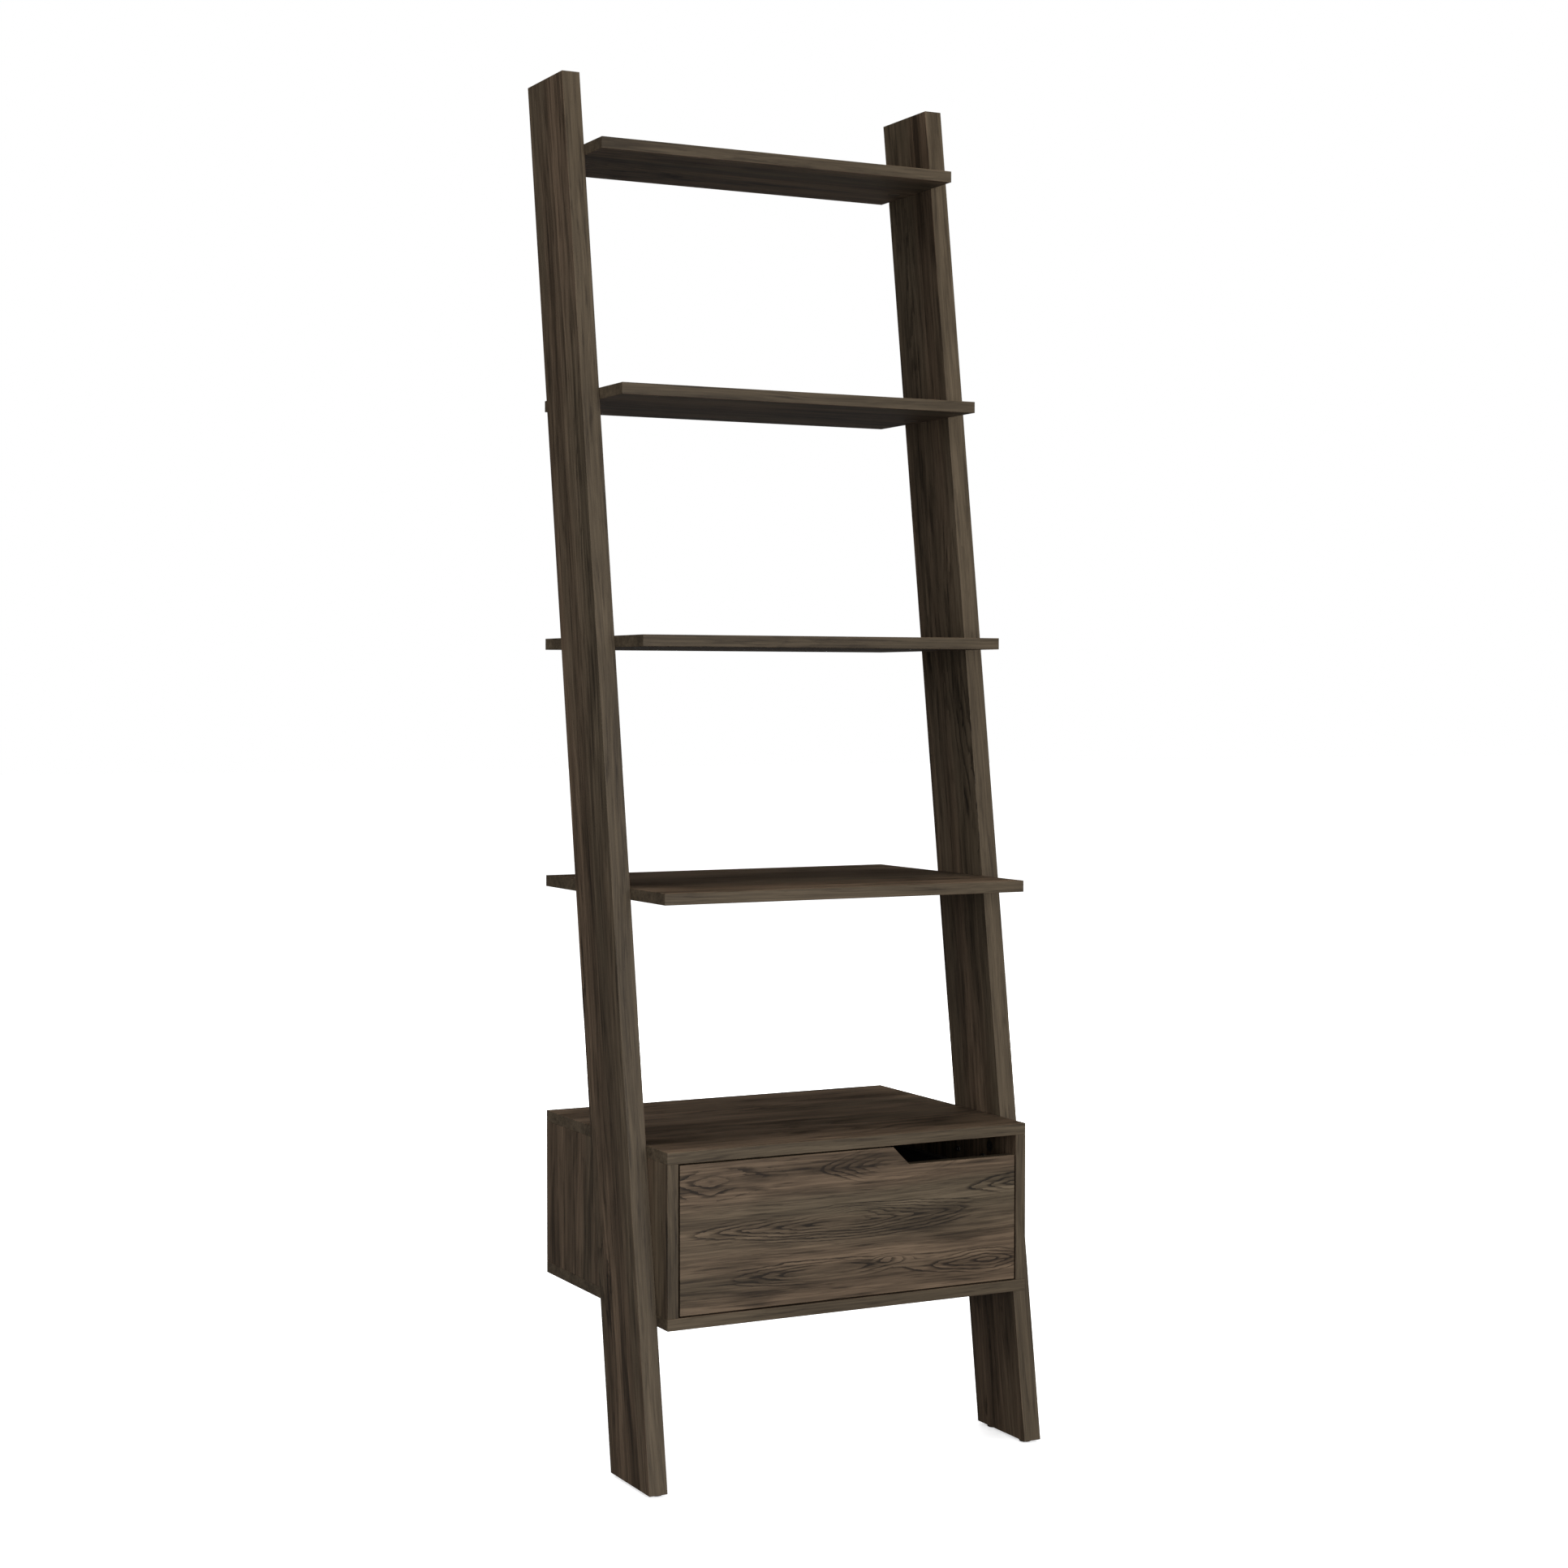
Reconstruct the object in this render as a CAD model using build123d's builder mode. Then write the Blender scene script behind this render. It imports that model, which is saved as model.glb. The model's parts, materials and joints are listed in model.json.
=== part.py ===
from build123d import *
import os
from math import floor, sqrt

# Ladder shelf. Two rails lean back towards a wall and carry four open shelves, which grow deeper
# towards the floor, and a cabinet with one drawer. Every rear edge lies in the wall's plane.
#
# Sizes are in millimetres. +X is to the right of someone facing the shelf, +Y is towards the wall
# and +Z is up. The origin is on the floor, at mid-width and mid-depth.

os.makedirs("parts", exist_ok=True)

LEFT = -1
RIGHT = 1
SIDES = (LEFT, RIGHT)
SIDE_NAMES = {LEFT: "left", RIGHT: "right"}

# ---------------------------------------------------------------------------
# Driving sizes
# ---------------------------------------------------------------------------

# Overall
shelf_length = 520.0  # between the rails
cabinet_depth = 392.0  # from the wall to the front of the cabinet
rail_height = 1800.0  # from the foot cut to the top cut, straight up

# Boards
board_thickness = 15.0
edge_radius = 0.6  # eased edge of every laminated board

# Rails
rail_thickness = 25.0
rail_level_width = 118.8  # along the level cuts at foot and top
rail_wall_gap = 4.0  # between the rails' top rear corner and the wall

# Shelves
shelf_count = 4
rail_above_top_shelf = 95.5  # from the top shelf's upper face to the rails' top cut
top_shelf_depth = 195.0
lowest_shelf_setback = 6.5  # how far the lowest shelf stays behind the cabinet's front

# Cabinet
cabinet_top_height = 424.5  # cabinet's upper face above the rails' foot cut
cabinet_height = 222.0

# Thin panels in their grooves
panel_thickness = 3.0
groove_play = 0.2  # groove width beyond the panel's thickness
panel_end_play = 0.5  # from the panel's edge to the groove's floor
cabinet_groove_depth = 6.0
cabinet_groove_inset = 10.0  # from the wall to the groove
drawer_groove_depth = 5.0
drawer_groove_height = 10.0  # from the box's lower edge to the groove

# Drawer
front_gap = 2.0  # round the drawer's front
notch_length = 183.0  # finger notch, along the front's top edge from its right end
notch_depth = 24.0
notch_corner_radius = 1.5
drawer_side_thickness = 12.0
drawer_side_height = 120.0
drawer_floor_gap = 20.0  # from the cabinet's inside floor to the drawer box
cabinet_rear_room = 30.0  # kept free of runner at the rear of the cabinet
runner_length_step = 50.0  # runners are sold in steps of this length
travel_loss = 90.0  # length of runner that stays inside when the drawer is open

# Runners
runner_side_gap = 12.7  # between the cabinet's side and the drawer box
sheet_thickness = 1.2
channel_depth = 9.5  # flanges of the cabinet member, web included
member_setback = 5.0  # cabinet member behind the back of the drawer's front
member_flange = 10.0  # flange under the drawer box, beyond the web
lip_offset = 3.0  # from the cabinet's side to the lip of the drawer member
lip_drop = 2.8
running_gap = 0.3  # between a roller and the flange that it runs on
flange_gap = 0.5  # between the two members' upper flanges
front_roller_lift = 1.0  # front roller above the channel's floor
roller_radius = 9.0
roller_width = 5.0
roller_offset = 4.6  # from the cabinet's side to the roller
roller_inset = 13.0  # roller's axle from the end of its member
roller_side_gap = 0.2
rivet_radius = 2.5
rivet_sleeve_radius = 4.0
rivet_head_radius = 4.5
rivet_head_height = 1.0
rivet_play = 0.05  # radial, in the roller and in the web
stop_height = 4.0  # stop tabs above the channel's floor

# Cam fittings
cam_radius = 7.5
cam_skin = 3.0  # wood left behind a cam
cam_inset = 24.0  # from the joint to the cam's centre
cam_slot_half = 3.3
cam_slot_back = 3.0
cam_slot_overrun = 0.6  # the slot's cut passes the drum's rim
cam_drive_length = 6.0
cam_drive_width = 1.4
cam_drive_depth = 2.2
bolt_thread_radius = 2.5
bolt_thread_length = 11.0
bolt_collar_radius = 3.4
bolt_collar_length = 3.0
bolt_shank_radius = 2.6
bolt_neck_radius = 2.0
bolt_neck_length = 3.5
bolt_head_radius = 3.0
bolt_head_length = 3.0
bolt_bore_radius = 3.8
cap_radius = 8.8
cap_thickness = 0.9
cap_edge_ease = 0.3

# Dowels
dowel_radius = 4.0
dowel_length = 30.0
dowel_far_length = 10.0  # part of the dowel in the board that it stands in
drawer_dowel_radius = 3.0
drawer_dowel_length = 25.0
dowel_end_ease_ratio = 0.2  # end chamfer over dowel radius
dowel_spacing = 64.0  # the two dowels beside a shelf's cam
hole_play = 0.05  # radial, round dowels, threads and nails
hole_end_play = 0.5

# Places along the cabinet's joints, from its front and rear edges
cabinet_screw_inset = 36.0
cabinet_cam_inset = 66.0
cabinet_dowel_inset = 96.0

# Screws
rail_screw_radius = 2.0
rail_screw_length = 30.0
rail_screw_spacing = 64.0
rail_screw_floor_inset = 75.0  # lower row, above the cabinet's inside floor
rail_screw_top_inset = 40.0  # upper row, below the cabinet's inside top
long_screw_radius = 2.5
long_screw_length = 50.0
small_screw_radius = 1.75
small_screw_length = 11.0
pan_head_ratio = 2.0  # head radius over shank radius
pan_head_rise_ratio = 0.8  # head height over shank radius
pan_head_edge_direction = (1.0, 0.3)  # the dome's line where it meets the head's edge
screw_point_ratio = 2.0  # point length over shank radius
recess_reach_ratio = 2.0  # cross recess: length of a bar over the shank radius
recess_bar_ratio = 0.5  # cross recess: width of a bar over the shank radius
runner_screw_first = 37.0  # first hole from the runner's front end
runner_screw_pitch = 128.0
runner_screw_last_margin = 18.5  # least distance from the last hole to the runner's rear end
under_screw_radius = 1.5
under_screw_inset = 4.0  # from the drawer box's outer face
drawer_back_screw_length = 35.0
drawer_back_screw_inset = 30.0  # from the drawer back's upper and lower edges
drawer_cam_edge_inset = 30.0  # from the drawer side's upper and lower edges
bottom_screw_count = 3

# Glides under the rails
glide_radius = 8.0
glide_height = 3.0
glide_edge_radius = 1.0
glide_floor_under_head = 1.5  # from the rail's foot down to the nail head's seat
glide_inward_shift = 3.0  # from the rail's mid-thickness towards the other rail
glide_front_inset = 14.0
glide_rear_inset = 24.0
nail_radius = 1.1
nail_length = 16.0
nail_head_radius = 3.0
nail_head_height = 0.8

# Wall brackets
bracket_spacing = 360.0
bracket_leg = 25.0
bracket_width = 20.0
bracket_thickness = 2.0
bracket_bend_radius = 1.5
bracket_hole_radius = 2.25
bracket_hole_height = 15.0  # from the bend's outer corner to each hole

# ---------------------------------------------------------------------------
# Places that follow from the sizes
# ---------------------------------------------------------------------------

y_wall = cabinet_depth / 2
y_front = -cabinet_depth / 2
foot_z = glide_height
half_length = shelf_length / 2
inner_half = half_length - board_thickness

lean_slope = (cabinet_depth - rail_wall_gap - rail_level_width) / rail_height

cabinet_top_z = foot_z + cabinet_top_height
cabinet_bottom_z = cabinet_top_z - cabinet_height
inside_top_z = cabinet_top_z - board_thickness
inside_floor_z = cabinet_bottom_z + board_thickness
inside_height = inside_top_z - inside_floor_z

bays_height = rail_height - rail_above_top_shelf - cabinet_top_height
shelf_pitch = bays_height / shelf_count
lowest_shelf_depth = cabinet_depth - lowest_shelf_setback
shelf_depth_step = (lowest_shelf_depth - top_shelf_depth) / (shelf_count - 1)

back_front_y = y_wall - cabinet_groove_inset - groove_play / 2 - panel_thickness

front_back_y = y_front + board_thickness
runner_room = cabinet_depth - cabinet_rear_room
runner_length = runner_length_step * floor(runner_room / runner_length_step)
drawer_travel = runner_length - travel_loss
box_half = inner_half - runner_side_gap
box_inner_half = box_half - drawer_side_thickness
box_z = inside_floor_z + drawer_floor_gap
box_top_z = box_z + drawer_side_height
box_rear_y = front_back_y + runner_length
box_bottom_z = box_z + drawer_groove_height + groove_play / 2
box_floor_z = box_bottom_z + panel_thickness

member_front_y = front_back_y + member_setback
front_roller_y = member_front_y + roller_inset
front_roller_z = box_z + front_roller_lift + roller_radius
rear_roller_y = box_rear_y - roller_inset
rear_roller_z = box_z + running_gap + roller_radius
drawer_flange_z = front_roller_z + roller_radius + running_gap
channel_top_z = drawer_flange_z + sheet_thickness + flange_gap
member_web_offset = runner_side_gap - sheet_thickness


def shelf_top(index):
    """Height of a shelf's upper face; the top shelf is number 1."""
    return cabinet_top_z + (shelf_count + 1 - index) * shelf_pitch


def shelf_depth(index):
    """Depth of a shelf from the wall; the top shelf is number 1."""
    return top_shelf_depth + (index - 1) * shelf_depth_step


def rail_front(z):
    """Where the rails' front edge is at a height."""
    return y_front + (z - foot_z) * lean_slope


def rail_centre(z):
    """Middle of the rails' level width at a height."""
    return rail_front(z) + rail_level_width / 2


def from_both_edges(inset):
    """The two places that far in from the cabinet's front and rear."""
    return (y_front + inset, y_wall - inset)


def section_at(y):
    """Workplane across the depth: local X is +X and local Y is +Z."""
    return Plane.XZ.offset(-y)


def finish(piece, name):
    """Label a finished piece and write its file."""
    piece.part.label = name
    export_step(piece.part, f"parts/{name}.step")


# ---------------------------------------------------------------------------
# Seats: where each fastener goes
# ---------------------------------------------------------------------------
# A seat is a workplane on a joint. Its local X points into the board that the tip enters.


def seat(x, y, z, towards, across):
    """Seat at a point, its local X towards a direction and its local Z across it."""
    return Plane(origin=(x, y, z), x_dir=towards, z_dir=across)


def far_mouths(seats):
    """Hole mouths on the board that each tip enters."""
    return [Plane(origin=place.origin, z_dir=-place.x_dir) for place in seats]


def near_mouths(seats):
    """Hole mouths on the board that each fastener comes from."""
    return [Plane(origin=place.origin, z_dir=place.x_dir) for place in seats]


def face_mouths(seats):
    """Hole mouths of cam pockets, whose seats have local Z pointing into the board."""
    return [Plane(origin=place.origin, z_dir=-place.z_dir) for place in seats]


def shelf_bolt_seats(index, side):
    """Cam bolt at one end of a shelf, on the rail's middle line."""
    z = shelf_top(index) - board_thickness / 2
    return [seat(side * half_length, rail_centre(z), z, (side, 0, 0), (0, 0, 1))]


def shelf_dowel_seats(index, side):
    """Dowels before and behind the cam bolt of one shelf end."""
    z = shelf_top(index) - board_thickness / 2
    places = (rail_centre(z) - dowel_spacing / 2, rail_centre(z) + dowel_spacing / 2)
    return [seat(side * half_length, y, z, (side, 0, 0), (0, 0, 1)) for y in places]


def shelf_cam_seats(index, side):
    """Cam under one end of a shelf."""
    x = side * (half_length - cam_inset)
    y = rail_centre(shelf_top(index) - board_thickness / 2)
    return [seat(x, y, shelf_top(index) - board_thickness, (side, 0, 0), (0, 0, 1))]


def cabinet_side_seats(side, inset, joint_z, up):
    """Upright fasteners at mid-thickness of a cabinet side, at its upper or lower joint."""
    x = side * (half_length - board_thickness / 2)
    return [seat(x, y, joint_z, (0, 0, up), (side, 0, 0)) for y in from_both_edges(inset)]


def cabinet_cam_seats(side):
    """Cams in a cabinet side's inner face, below the top panel."""
    z = inside_top_z - cam_inset
    places = from_both_edges(cabinet_cam_inset)
    return [seat(side * inner_half, y, z, (0, 0, 1), (side, 0, 0)) for y in places]


def rail_screw_seats(side):
    """Screws from inside the cabinet into the rail."""
    seats = []
    for z in (inside_floor_z + rail_screw_floor_inset, inside_top_z - rail_screw_top_inset):
        for shift in (-rail_screw_spacing / 2, rail_screw_spacing / 2):
            seats.append(seat(side * inner_half, rail_centre(z) + shift, z, (side, 0, 0), (0, 0, 1)))
    return seats


def runner_hole_places(front_y):
    """Screw places along a runner member that starts at front_y."""
    places = []
    offset = runner_screw_first
    while offset < runner_length - runner_screw_last_margin:
        places.append(front_y + offset)
        offset += runner_screw_pitch
    return places


def cabinet_runner_seats(side):
    """Screws through the cabinet member's web."""
    x = side * (inner_half - sheet_thickness)
    z = box_z + roller_radius
    places = runner_hole_places(member_front_y)
    return [seat(x, y, z, (side, 0, 0), (0, 0, 1)) for y in places]


def drawer_runner_seats(side):
    """Screws up through the flange under the drawer box."""
    x = side * (box_half - under_screw_inset)
    z = box_z - sheet_thickness
    places = runner_hole_places(front_back_y)
    return [seat(x, y, z, (0, 0, 1), (1, 0, 0)) for y in places]


def drawer_joint_heights():
    """Heights of the cam bolts at the front end of a drawer side."""
    return (box_z + drawer_cam_edge_inset, box_top_z - drawer_cam_edge_inset)


def drawer_bolt_seats(side):
    """Cam bolts from a drawer side into the front."""
    x = side * (box_half - drawer_side_thickness / 2)
    return [seat(x, front_back_y, z, (0, -1, 0), (side, 0, 0)) for z in drawer_joint_heights()]


def drawer_cam_seats(side):
    """Cams in a drawer side's inner face."""
    y = front_back_y + cam_inset
    x = side * box_inner_half
    return [seat(x, y, z, (0, -1, 0), (side, 0, 0)) for z in drawer_joint_heights()]


def drawer_dowel_seats(side):
    """Dowel halfway up the front end of a drawer side."""
    x = side * (box_half - drawer_side_thickness / 2)
    return [seat(x, front_back_y, box_z + drawer_side_height / 2, (0, -1, 0), (side, 0, 0))]


def drawer_back_seats(side):
    """Screws through a drawer side into the back."""
    y = box_rear_y - drawer_side_thickness / 2
    heights = (box_floor_z + drawer_back_screw_inset, box_top_z - drawer_back_screw_inset)
    return [seat(side * box_half, y, z, (-side, 0, 0), (0, 0, 1)) for z in heights]


def drawer_bottom_seats():
    """Screws up through the bottom into the back's lower edge."""
    y = box_rear_y - drawer_side_thickness / 2
    pitch = 2 * box_inner_half / bottom_screw_count
    first = -box_inner_half + pitch / 2
    places = [first + number * pitch for number in range(bottom_screw_count)]
    return [seat(x, y, box_bottom_z, (0, 0, 1), (1, 0, 0)) for x in places]


def glide_seats(side):
    """Glides under one rail, with local X up into the rail."""
    x = side * (half_length + rail_thickness / 2 - glide_inward_shift)
    rear = rail_front(foot_z) + rail_level_width - glide_rear_inset
    places = (rail_front(foot_z) + glide_front_inset, rear)
    return [seat(x, y, foot_z, (0, 0, 1), (1, 0, 0)) for y in places]


def bracket_seats():
    """Bracket screws down into the top shelf."""
    z = shelf_top(1) + bracket_thickness
    y = y_wall - bracket_hole_height
    return [seat(side * bracket_spacing / 2, y, z, (0, 0, -1), (1, 0, 0)) for side in SIDES]


def both_sides(seats_of_side):
    """Seats of one kind on the left and on the right."""
    return [place for side in SIDES for place in seats_of_side(side)]


def every_shelf(seats_of_end):
    """Seats of one kind at both ends of every shelf."""
    numbers = range(1, shelf_count + 1)
    return [place for number in numbers for side in SIDES for place in seats_of_end(number, side)]


# ---------------------------------------------------------------------------
# Fastener shapes, each along local +X with its seat at the origin
# ---------------------------------------------------------------------------


def turned(points):
    """Solid of revolution about X from (along, radius) points."""
    with BuildPart() as piece:
        with BuildSketch():
            with BuildLine():
                Polyline(*points, close=True)
            make_face()
        revolve(axis=Axis.X)
    return piece.part


def cam_bolt():
    """Cam bolt: thread, collar, shank, neck and head."""
    head_end = -cam_inset
    head_start = head_end + bolt_head_length
    neck_start = head_start + bolt_neck_length
    return turned([
        (head_end, 0),
        (head_end, bolt_head_radius),
        (head_start, bolt_head_radius),
        (head_start, bolt_neck_radius),
        (neck_start, bolt_neck_radius),
        (neck_start, bolt_shank_radius),
        (-bolt_collar_length, bolt_shank_radius),
        (-bolt_collar_length, bolt_collar_radius),
        (0, bolt_collar_radius),
        (0, bolt_thread_radius),
        (bolt_thread_length, bolt_thread_radius),
        (bolt_thread_length, 0),
    ])


def cam(thickness):
    """Cam for a board of that thickness: a drum with a slot for the bolt and a cross drive."""
    height = thickness - cam_skin
    slot_length = cam_slot_back + cam_radius
    with BuildPart() as piece:
        Cylinder(cam_radius, height, align=(Align.CENTER, Align.CENTER, Align.MIN))
        with Locations((slot_length / 2 - cam_slot_back, 0, thickness / 2)):
            Box(slot_length + cam_slot_overrun, 2 * cam_slot_half, 2 * cam_slot_half, mode=Mode.SUBTRACT)
        with Locations((0, 0, cam_drive_depth / 2)):
            Box(cam_drive_length, cam_drive_width, cam_drive_depth, mode=Mode.SUBTRACT)
            Box(cam_drive_width, cam_drive_length, cam_drive_depth, mode=Mode.SUBTRACT)
    return piece.part


def cam_cap():
    """Cap over a cam: a thin disc with a cross peg that grips the cam's drive."""
    peg_length = cam_drive_length - 2 * hole_play
    peg_width = cam_drive_width - 2 * hole_play
    peg_height = cam_drive_depth - hole_end_play
    with BuildPart() as piece:
        Cylinder(cap_radius, cap_thickness, align=(Align.CENTER, Align.CENTER, Align.MAX))
        chamfer(piece.edges().group_by(Axis.Z)[0], cap_edge_ease)
        with Locations((0, 0, peg_height / 2)):
            Box(peg_length, peg_width, peg_height)
            Box(peg_width, peg_length, peg_height)
    return piece.part


def dowel(radius, length):
    """Dowel with chamfered ends."""
    near_end = dowel_far_length - length
    ease = radius * dowel_end_ease_ratio
    return turned([
        (near_end, 0),
        (near_end, radius - ease),
        (near_end + ease, radius),
        (dowel_far_length - ease, radius),
        (dowel_far_length, radius - ease),
        (dowel_far_length, 0),
    ])


def with_cross_drive(screw, top, size):
    """Cut a cross recess, size deep, into a screw's head, whose top is at local X = top."""
    reach = size * recess_reach_ratio
    bar = size * recess_bar_ratio
    with BuildPart() as piece:
        add(screw)
        with Locations((top, 0, 0)):
            Box(size, reach, bar, mode=Mode.SUBTRACT)
            Box(size, bar, reach, mode=Mode.SUBTRACT)
    return piece.part


def pan_screw(radius, length):
    """Screw with a low domed head that stands on its seat."""
    head_radius = radius * pan_head_ratio
    head_height = radius * pan_head_rise_ratio
    point_start = length - radius * screw_point_ratio
    with BuildPart() as piece:
        with BuildSketch():
            with BuildLine():
                Line((0, head_radius), (0, radius))
                Line((0, radius), (point_start, radius))
                Line((point_start, radius), (length, 0))
                Line((length, 0), (-head_height, 0))
                Spline(
                    (-head_height, 0),
                    (0, head_radius),
                    tangents=((0, 1), pan_head_edge_direction),
                )
            make_face()
        revolve(axis=Axis.X)
    return with_cross_drive(piece.part, -head_height, radius)


def flat_screw(radius, length):
    """Screw with a countersunk head, flush with its seat."""
    head_radius = radius * pan_head_ratio
    body = turned([
        (0, 0),
        (0, head_radius),
        (head_radius - radius, radius),
        (length - radius * screw_point_ratio, radius),
        (length, 0),
    ])
    return with_cross_drive(body, 0, radius)


def glide_nail():
    """Nail with a flat head."""
    return turned([
        (-nail_head_height, 0),
        (-nail_head_height, nail_head_radius),
        (0, nail_head_radius),
        (0, nail_radius),
        (nail_length - nail_radius * screw_point_ratio, nail_radius),
        (nail_length, 0),
    ])


def rivet(sleeve_length):
    """Shoulder rivet of a roller, from the web's outer face."""
    sleeve_end = sheet_thickness + sleeve_length
    head_start = sleeve_end + roller_width + 2 * roller_side_gap
    head_end = head_start + rivet_head_height
    return turned([
        (0, 0),
        (0, rivet_radius),
        (sheet_thickness, rivet_radius),
        (sheet_thickness, rivet_sleeve_radius),
        (sleeve_end, rivet_sleeve_radius),
        (sleeve_end, rivet_radius),
        (head_start, rivet_radius),
        (head_start, rivet_head_radius),
        (head_end, rivet_head_radius),
        (head_end, 0),
    ])


def save_group(name, shape, seats):
    """Write one node that holds a copy of a fastener at every seat."""
    with BuildPart() as group:
        with Locations(*seats):
            add(shape)
    finish(group, name)


# ---------------------------------------------------------------------------
# Rails
# ---------------------------------------------------------------------------

for side in SIDES:
    rail_start = side * half_length + (0 if side == RIGHT else -rail_thickness)
    with BuildPart() as rail:
        with BuildSketch(Plane.YZ.offset(rail_start)):
            with BuildLine():
                top_front = rail_front(foot_z + rail_height)
                Polyline(
                    (y_front, foot_z),
                    (y_front + rail_level_width, foot_z),
                    (top_front + rail_level_width, foot_z + rail_height),
                    (top_front, foot_z + rail_height),
                    close=True,
                )
            make_face()
        extrude(amount=rail_thickness)
        fillet(rail.edges(), edge_radius)
        for number in range(1, shelf_count + 1):
            with Locations(*far_mouths(shelf_bolt_seats(number, side))):
                Hole(bolt_thread_radius + hole_play, bolt_thread_length + hole_end_play)
            with Locations(*far_mouths(shelf_dowel_seats(number, side))):
                Hole(dowel_radius + hole_play, dowel_far_length + hole_end_play)
        with Locations(*far_mouths(rail_screw_seats(side))):
            Hole(rail_screw_radius + hole_play, rail_screw_length + hole_end_play)
        with Locations(*far_mouths(glide_seats(side))):
            Hole(nail_radius + hole_play, nail_length + hole_end_play)
    finish(rail, f"{SIDE_NAMES[side]}_rail")

# ---------------------------------------------------------------------------
# Shelves
# ---------------------------------------------------------------------------

for number in range(1, shelf_count + 1):
    depth = shelf_depth(number)
    with BuildPart() as shelf:
        with BuildSketch(Plane.XY.offset(shelf_top(number) - board_thickness)):
            with Locations((0, y_wall - depth / 2)):
                Rectangle(shelf_length, depth)
        extrude(amount=board_thickness)
        fillet(shelf.edges(), edge_radius)
        for side in SIDES:
            with Locations(*near_mouths(shelf_bolt_seats(number, side))):
                Hole(bolt_bore_radius, cam_inset)
            with Locations(*near_mouths(shelf_dowel_seats(number, side))):
                Hole(dowel_radius + hole_play, dowel_length - dowel_far_length + hole_end_play)
            with Locations(*face_mouths(shelf_cam_seats(number, side))):
                Hole(cam_radius + hole_play, board_thickness - cam_skin + hole_end_play)
        if number == 1:
            with Locations(*far_mouths(bracket_seats())):
                Hole(small_screw_radius + hole_play, small_screw_length + hole_end_play)
    finish(shelf, f"shelf_{number}")

# ---------------------------------------------------------------------------
# Cabinet
# ---------------------------------------------------------------------------

groove_width = panel_thickness + groove_play
groove_y = y_wall - cabinet_groove_inset - groove_width / 2
groove_length = 2 * (inner_half + cabinet_groove_depth)

cabinet_panels = {
    "cabinet_top": (inside_top_z, inside_top_z, 1),
    "cabinet_bottom": (cabinet_bottom_z, inside_floor_z, -1),
}
for name, (panel_z, joint_z, up) in cabinet_panels.items():
    with BuildPart() as panel:
        with BuildSketch(Plane.XY.offset(panel_z)):
            Rectangle(shelf_length, cabinet_depth)
        extrude(amount=board_thickness)
        fillet(panel.edges(), edge_radius)
        with BuildSketch(Plane.XY.offset(joint_z)):
            with Locations((0, groove_y)):
                Rectangle(groove_length, groove_width)
        extrude(amount=up * cabinet_groove_depth, mode=Mode.SUBTRACT)
        for side in SIDES:
            with Locations(*far_mouths(cabinet_side_seats(side, cabinet_dowel_inset, joint_z, up))):
                Hole(dowel_radius + hole_play, dowel_far_length + hole_end_play)
            if name == "cabinet_top":
                bolts = cabinet_side_seats(side, cabinet_cam_inset, joint_z, up)
                with Locations(*far_mouths(bolts)):
                    Hole(bolt_thread_radius + hole_play, bolt_thread_length + hole_end_play)
            else:
                screws = cabinet_side_seats(side, cabinet_screw_inset, cabinet_bottom_z, 1)
                with Locations(*far_mouths(screws)):
                    CounterSinkHole(
                        long_screw_radius + hole_play,
                        long_screw_radius * pan_head_ratio + hole_play,
                        board_thickness,
                        90,
                    )
    finish(panel, name)

for side in SIDES:
    side_start = side * inner_half + (0 if side == RIGHT else -board_thickness)
    with BuildPart() as cabinet_side:
        with BuildSketch(Plane.YZ.offset(side_start)):
            with Locations((0, (inside_floor_z + inside_top_z) / 2)):
                Rectangle(cabinet_depth, inside_height)
        extrude(amount=board_thickness)
        fillet(cabinet_side.edges(), edge_radius)
        with BuildSketch(Plane.YZ.offset(side * inner_half)):
            with Locations((groove_y, (inside_floor_z + inside_top_z) / 2)):
                Rectangle(groove_width, inside_height)
        extrude(amount=side * cabinet_groove_depth, mode=Mode.SUBTRACT)
        with Locations(*near_mouths(cabinet_side_seats(side, cabinet_cam_inset, inside_top_z, 1))):
            Hole(bolt_bore_radius, cam_inset)
        with Locations(*face_mouths(cabinet_cam_seats(side))):
            Hole(cam_radius + hole_play, board_thickness - cam_skin + hole_end_play)
        for joint_z, up in ((inside_top_z, 1), (inside_floor_z, -1)):
            dowels = cabinet_side_seats(side, cabinet_dowel_inset, joint_z, up)
            with Locations(*near_mouths(dowels)):
                Hole(dowel_radius + hole_play, dowel_length - dowel_far_length + hole_end_play)
        long_screws = cabinet_side_seats(side, cabinet_screw_inset, cabinet_bottom_z, 1)
        with Locations(*far_mouths(long_screws)):
            Hole(long_screw_radius + hole_play, long_screw_length + hole_end_play)
        with Locations(*far_mouths(rail_screw_seats(side))):
            Hole(rail_screw_radius + hole_play, board_thickness)
        with Locations(*far_mouths(cabinet_runner_seats(side))):
            Hole(small_screw_radius + hole_play, small_screw_length + hole_end_play)
    finish(cabinet_side, f"cabinet_{SIDE_NAMES[side]}_side")

with BuildPart() as cabinet_back:
    with BuildSketch(section_at(back_front_y)):
        with Locations((0, (inside_floor_z + inside_top_z) / 2)):
            Rectangle(
                groove_length - 2 * panel_end_play,
                inside_height + 2 * (cabinet_groove_depth - panel_end_play),
            )
    extrude(amount=-panel_thickness)
finish(cabinet_back, "cabinet_back")

# ---------------------------------------------------------------------------
# Fasteners of the shelves and the cabinet
# ---------------------------------------------------------------------------

save_group("shelf_cam_bolts", cam_bolt(), every_shelf(shelf_bolt_seats))
save_group("shelf_cams", cam(board_thickness), every_shelf(shelf_cam_seats))
save_group("shelf_cam_caps", cam_cap(), every_shelf(shelf_cam_seats))
save_group("shelf_dowels", dowel(dowel_radius, dowel_length), every_shelf(shelf_dowel_seats))

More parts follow.
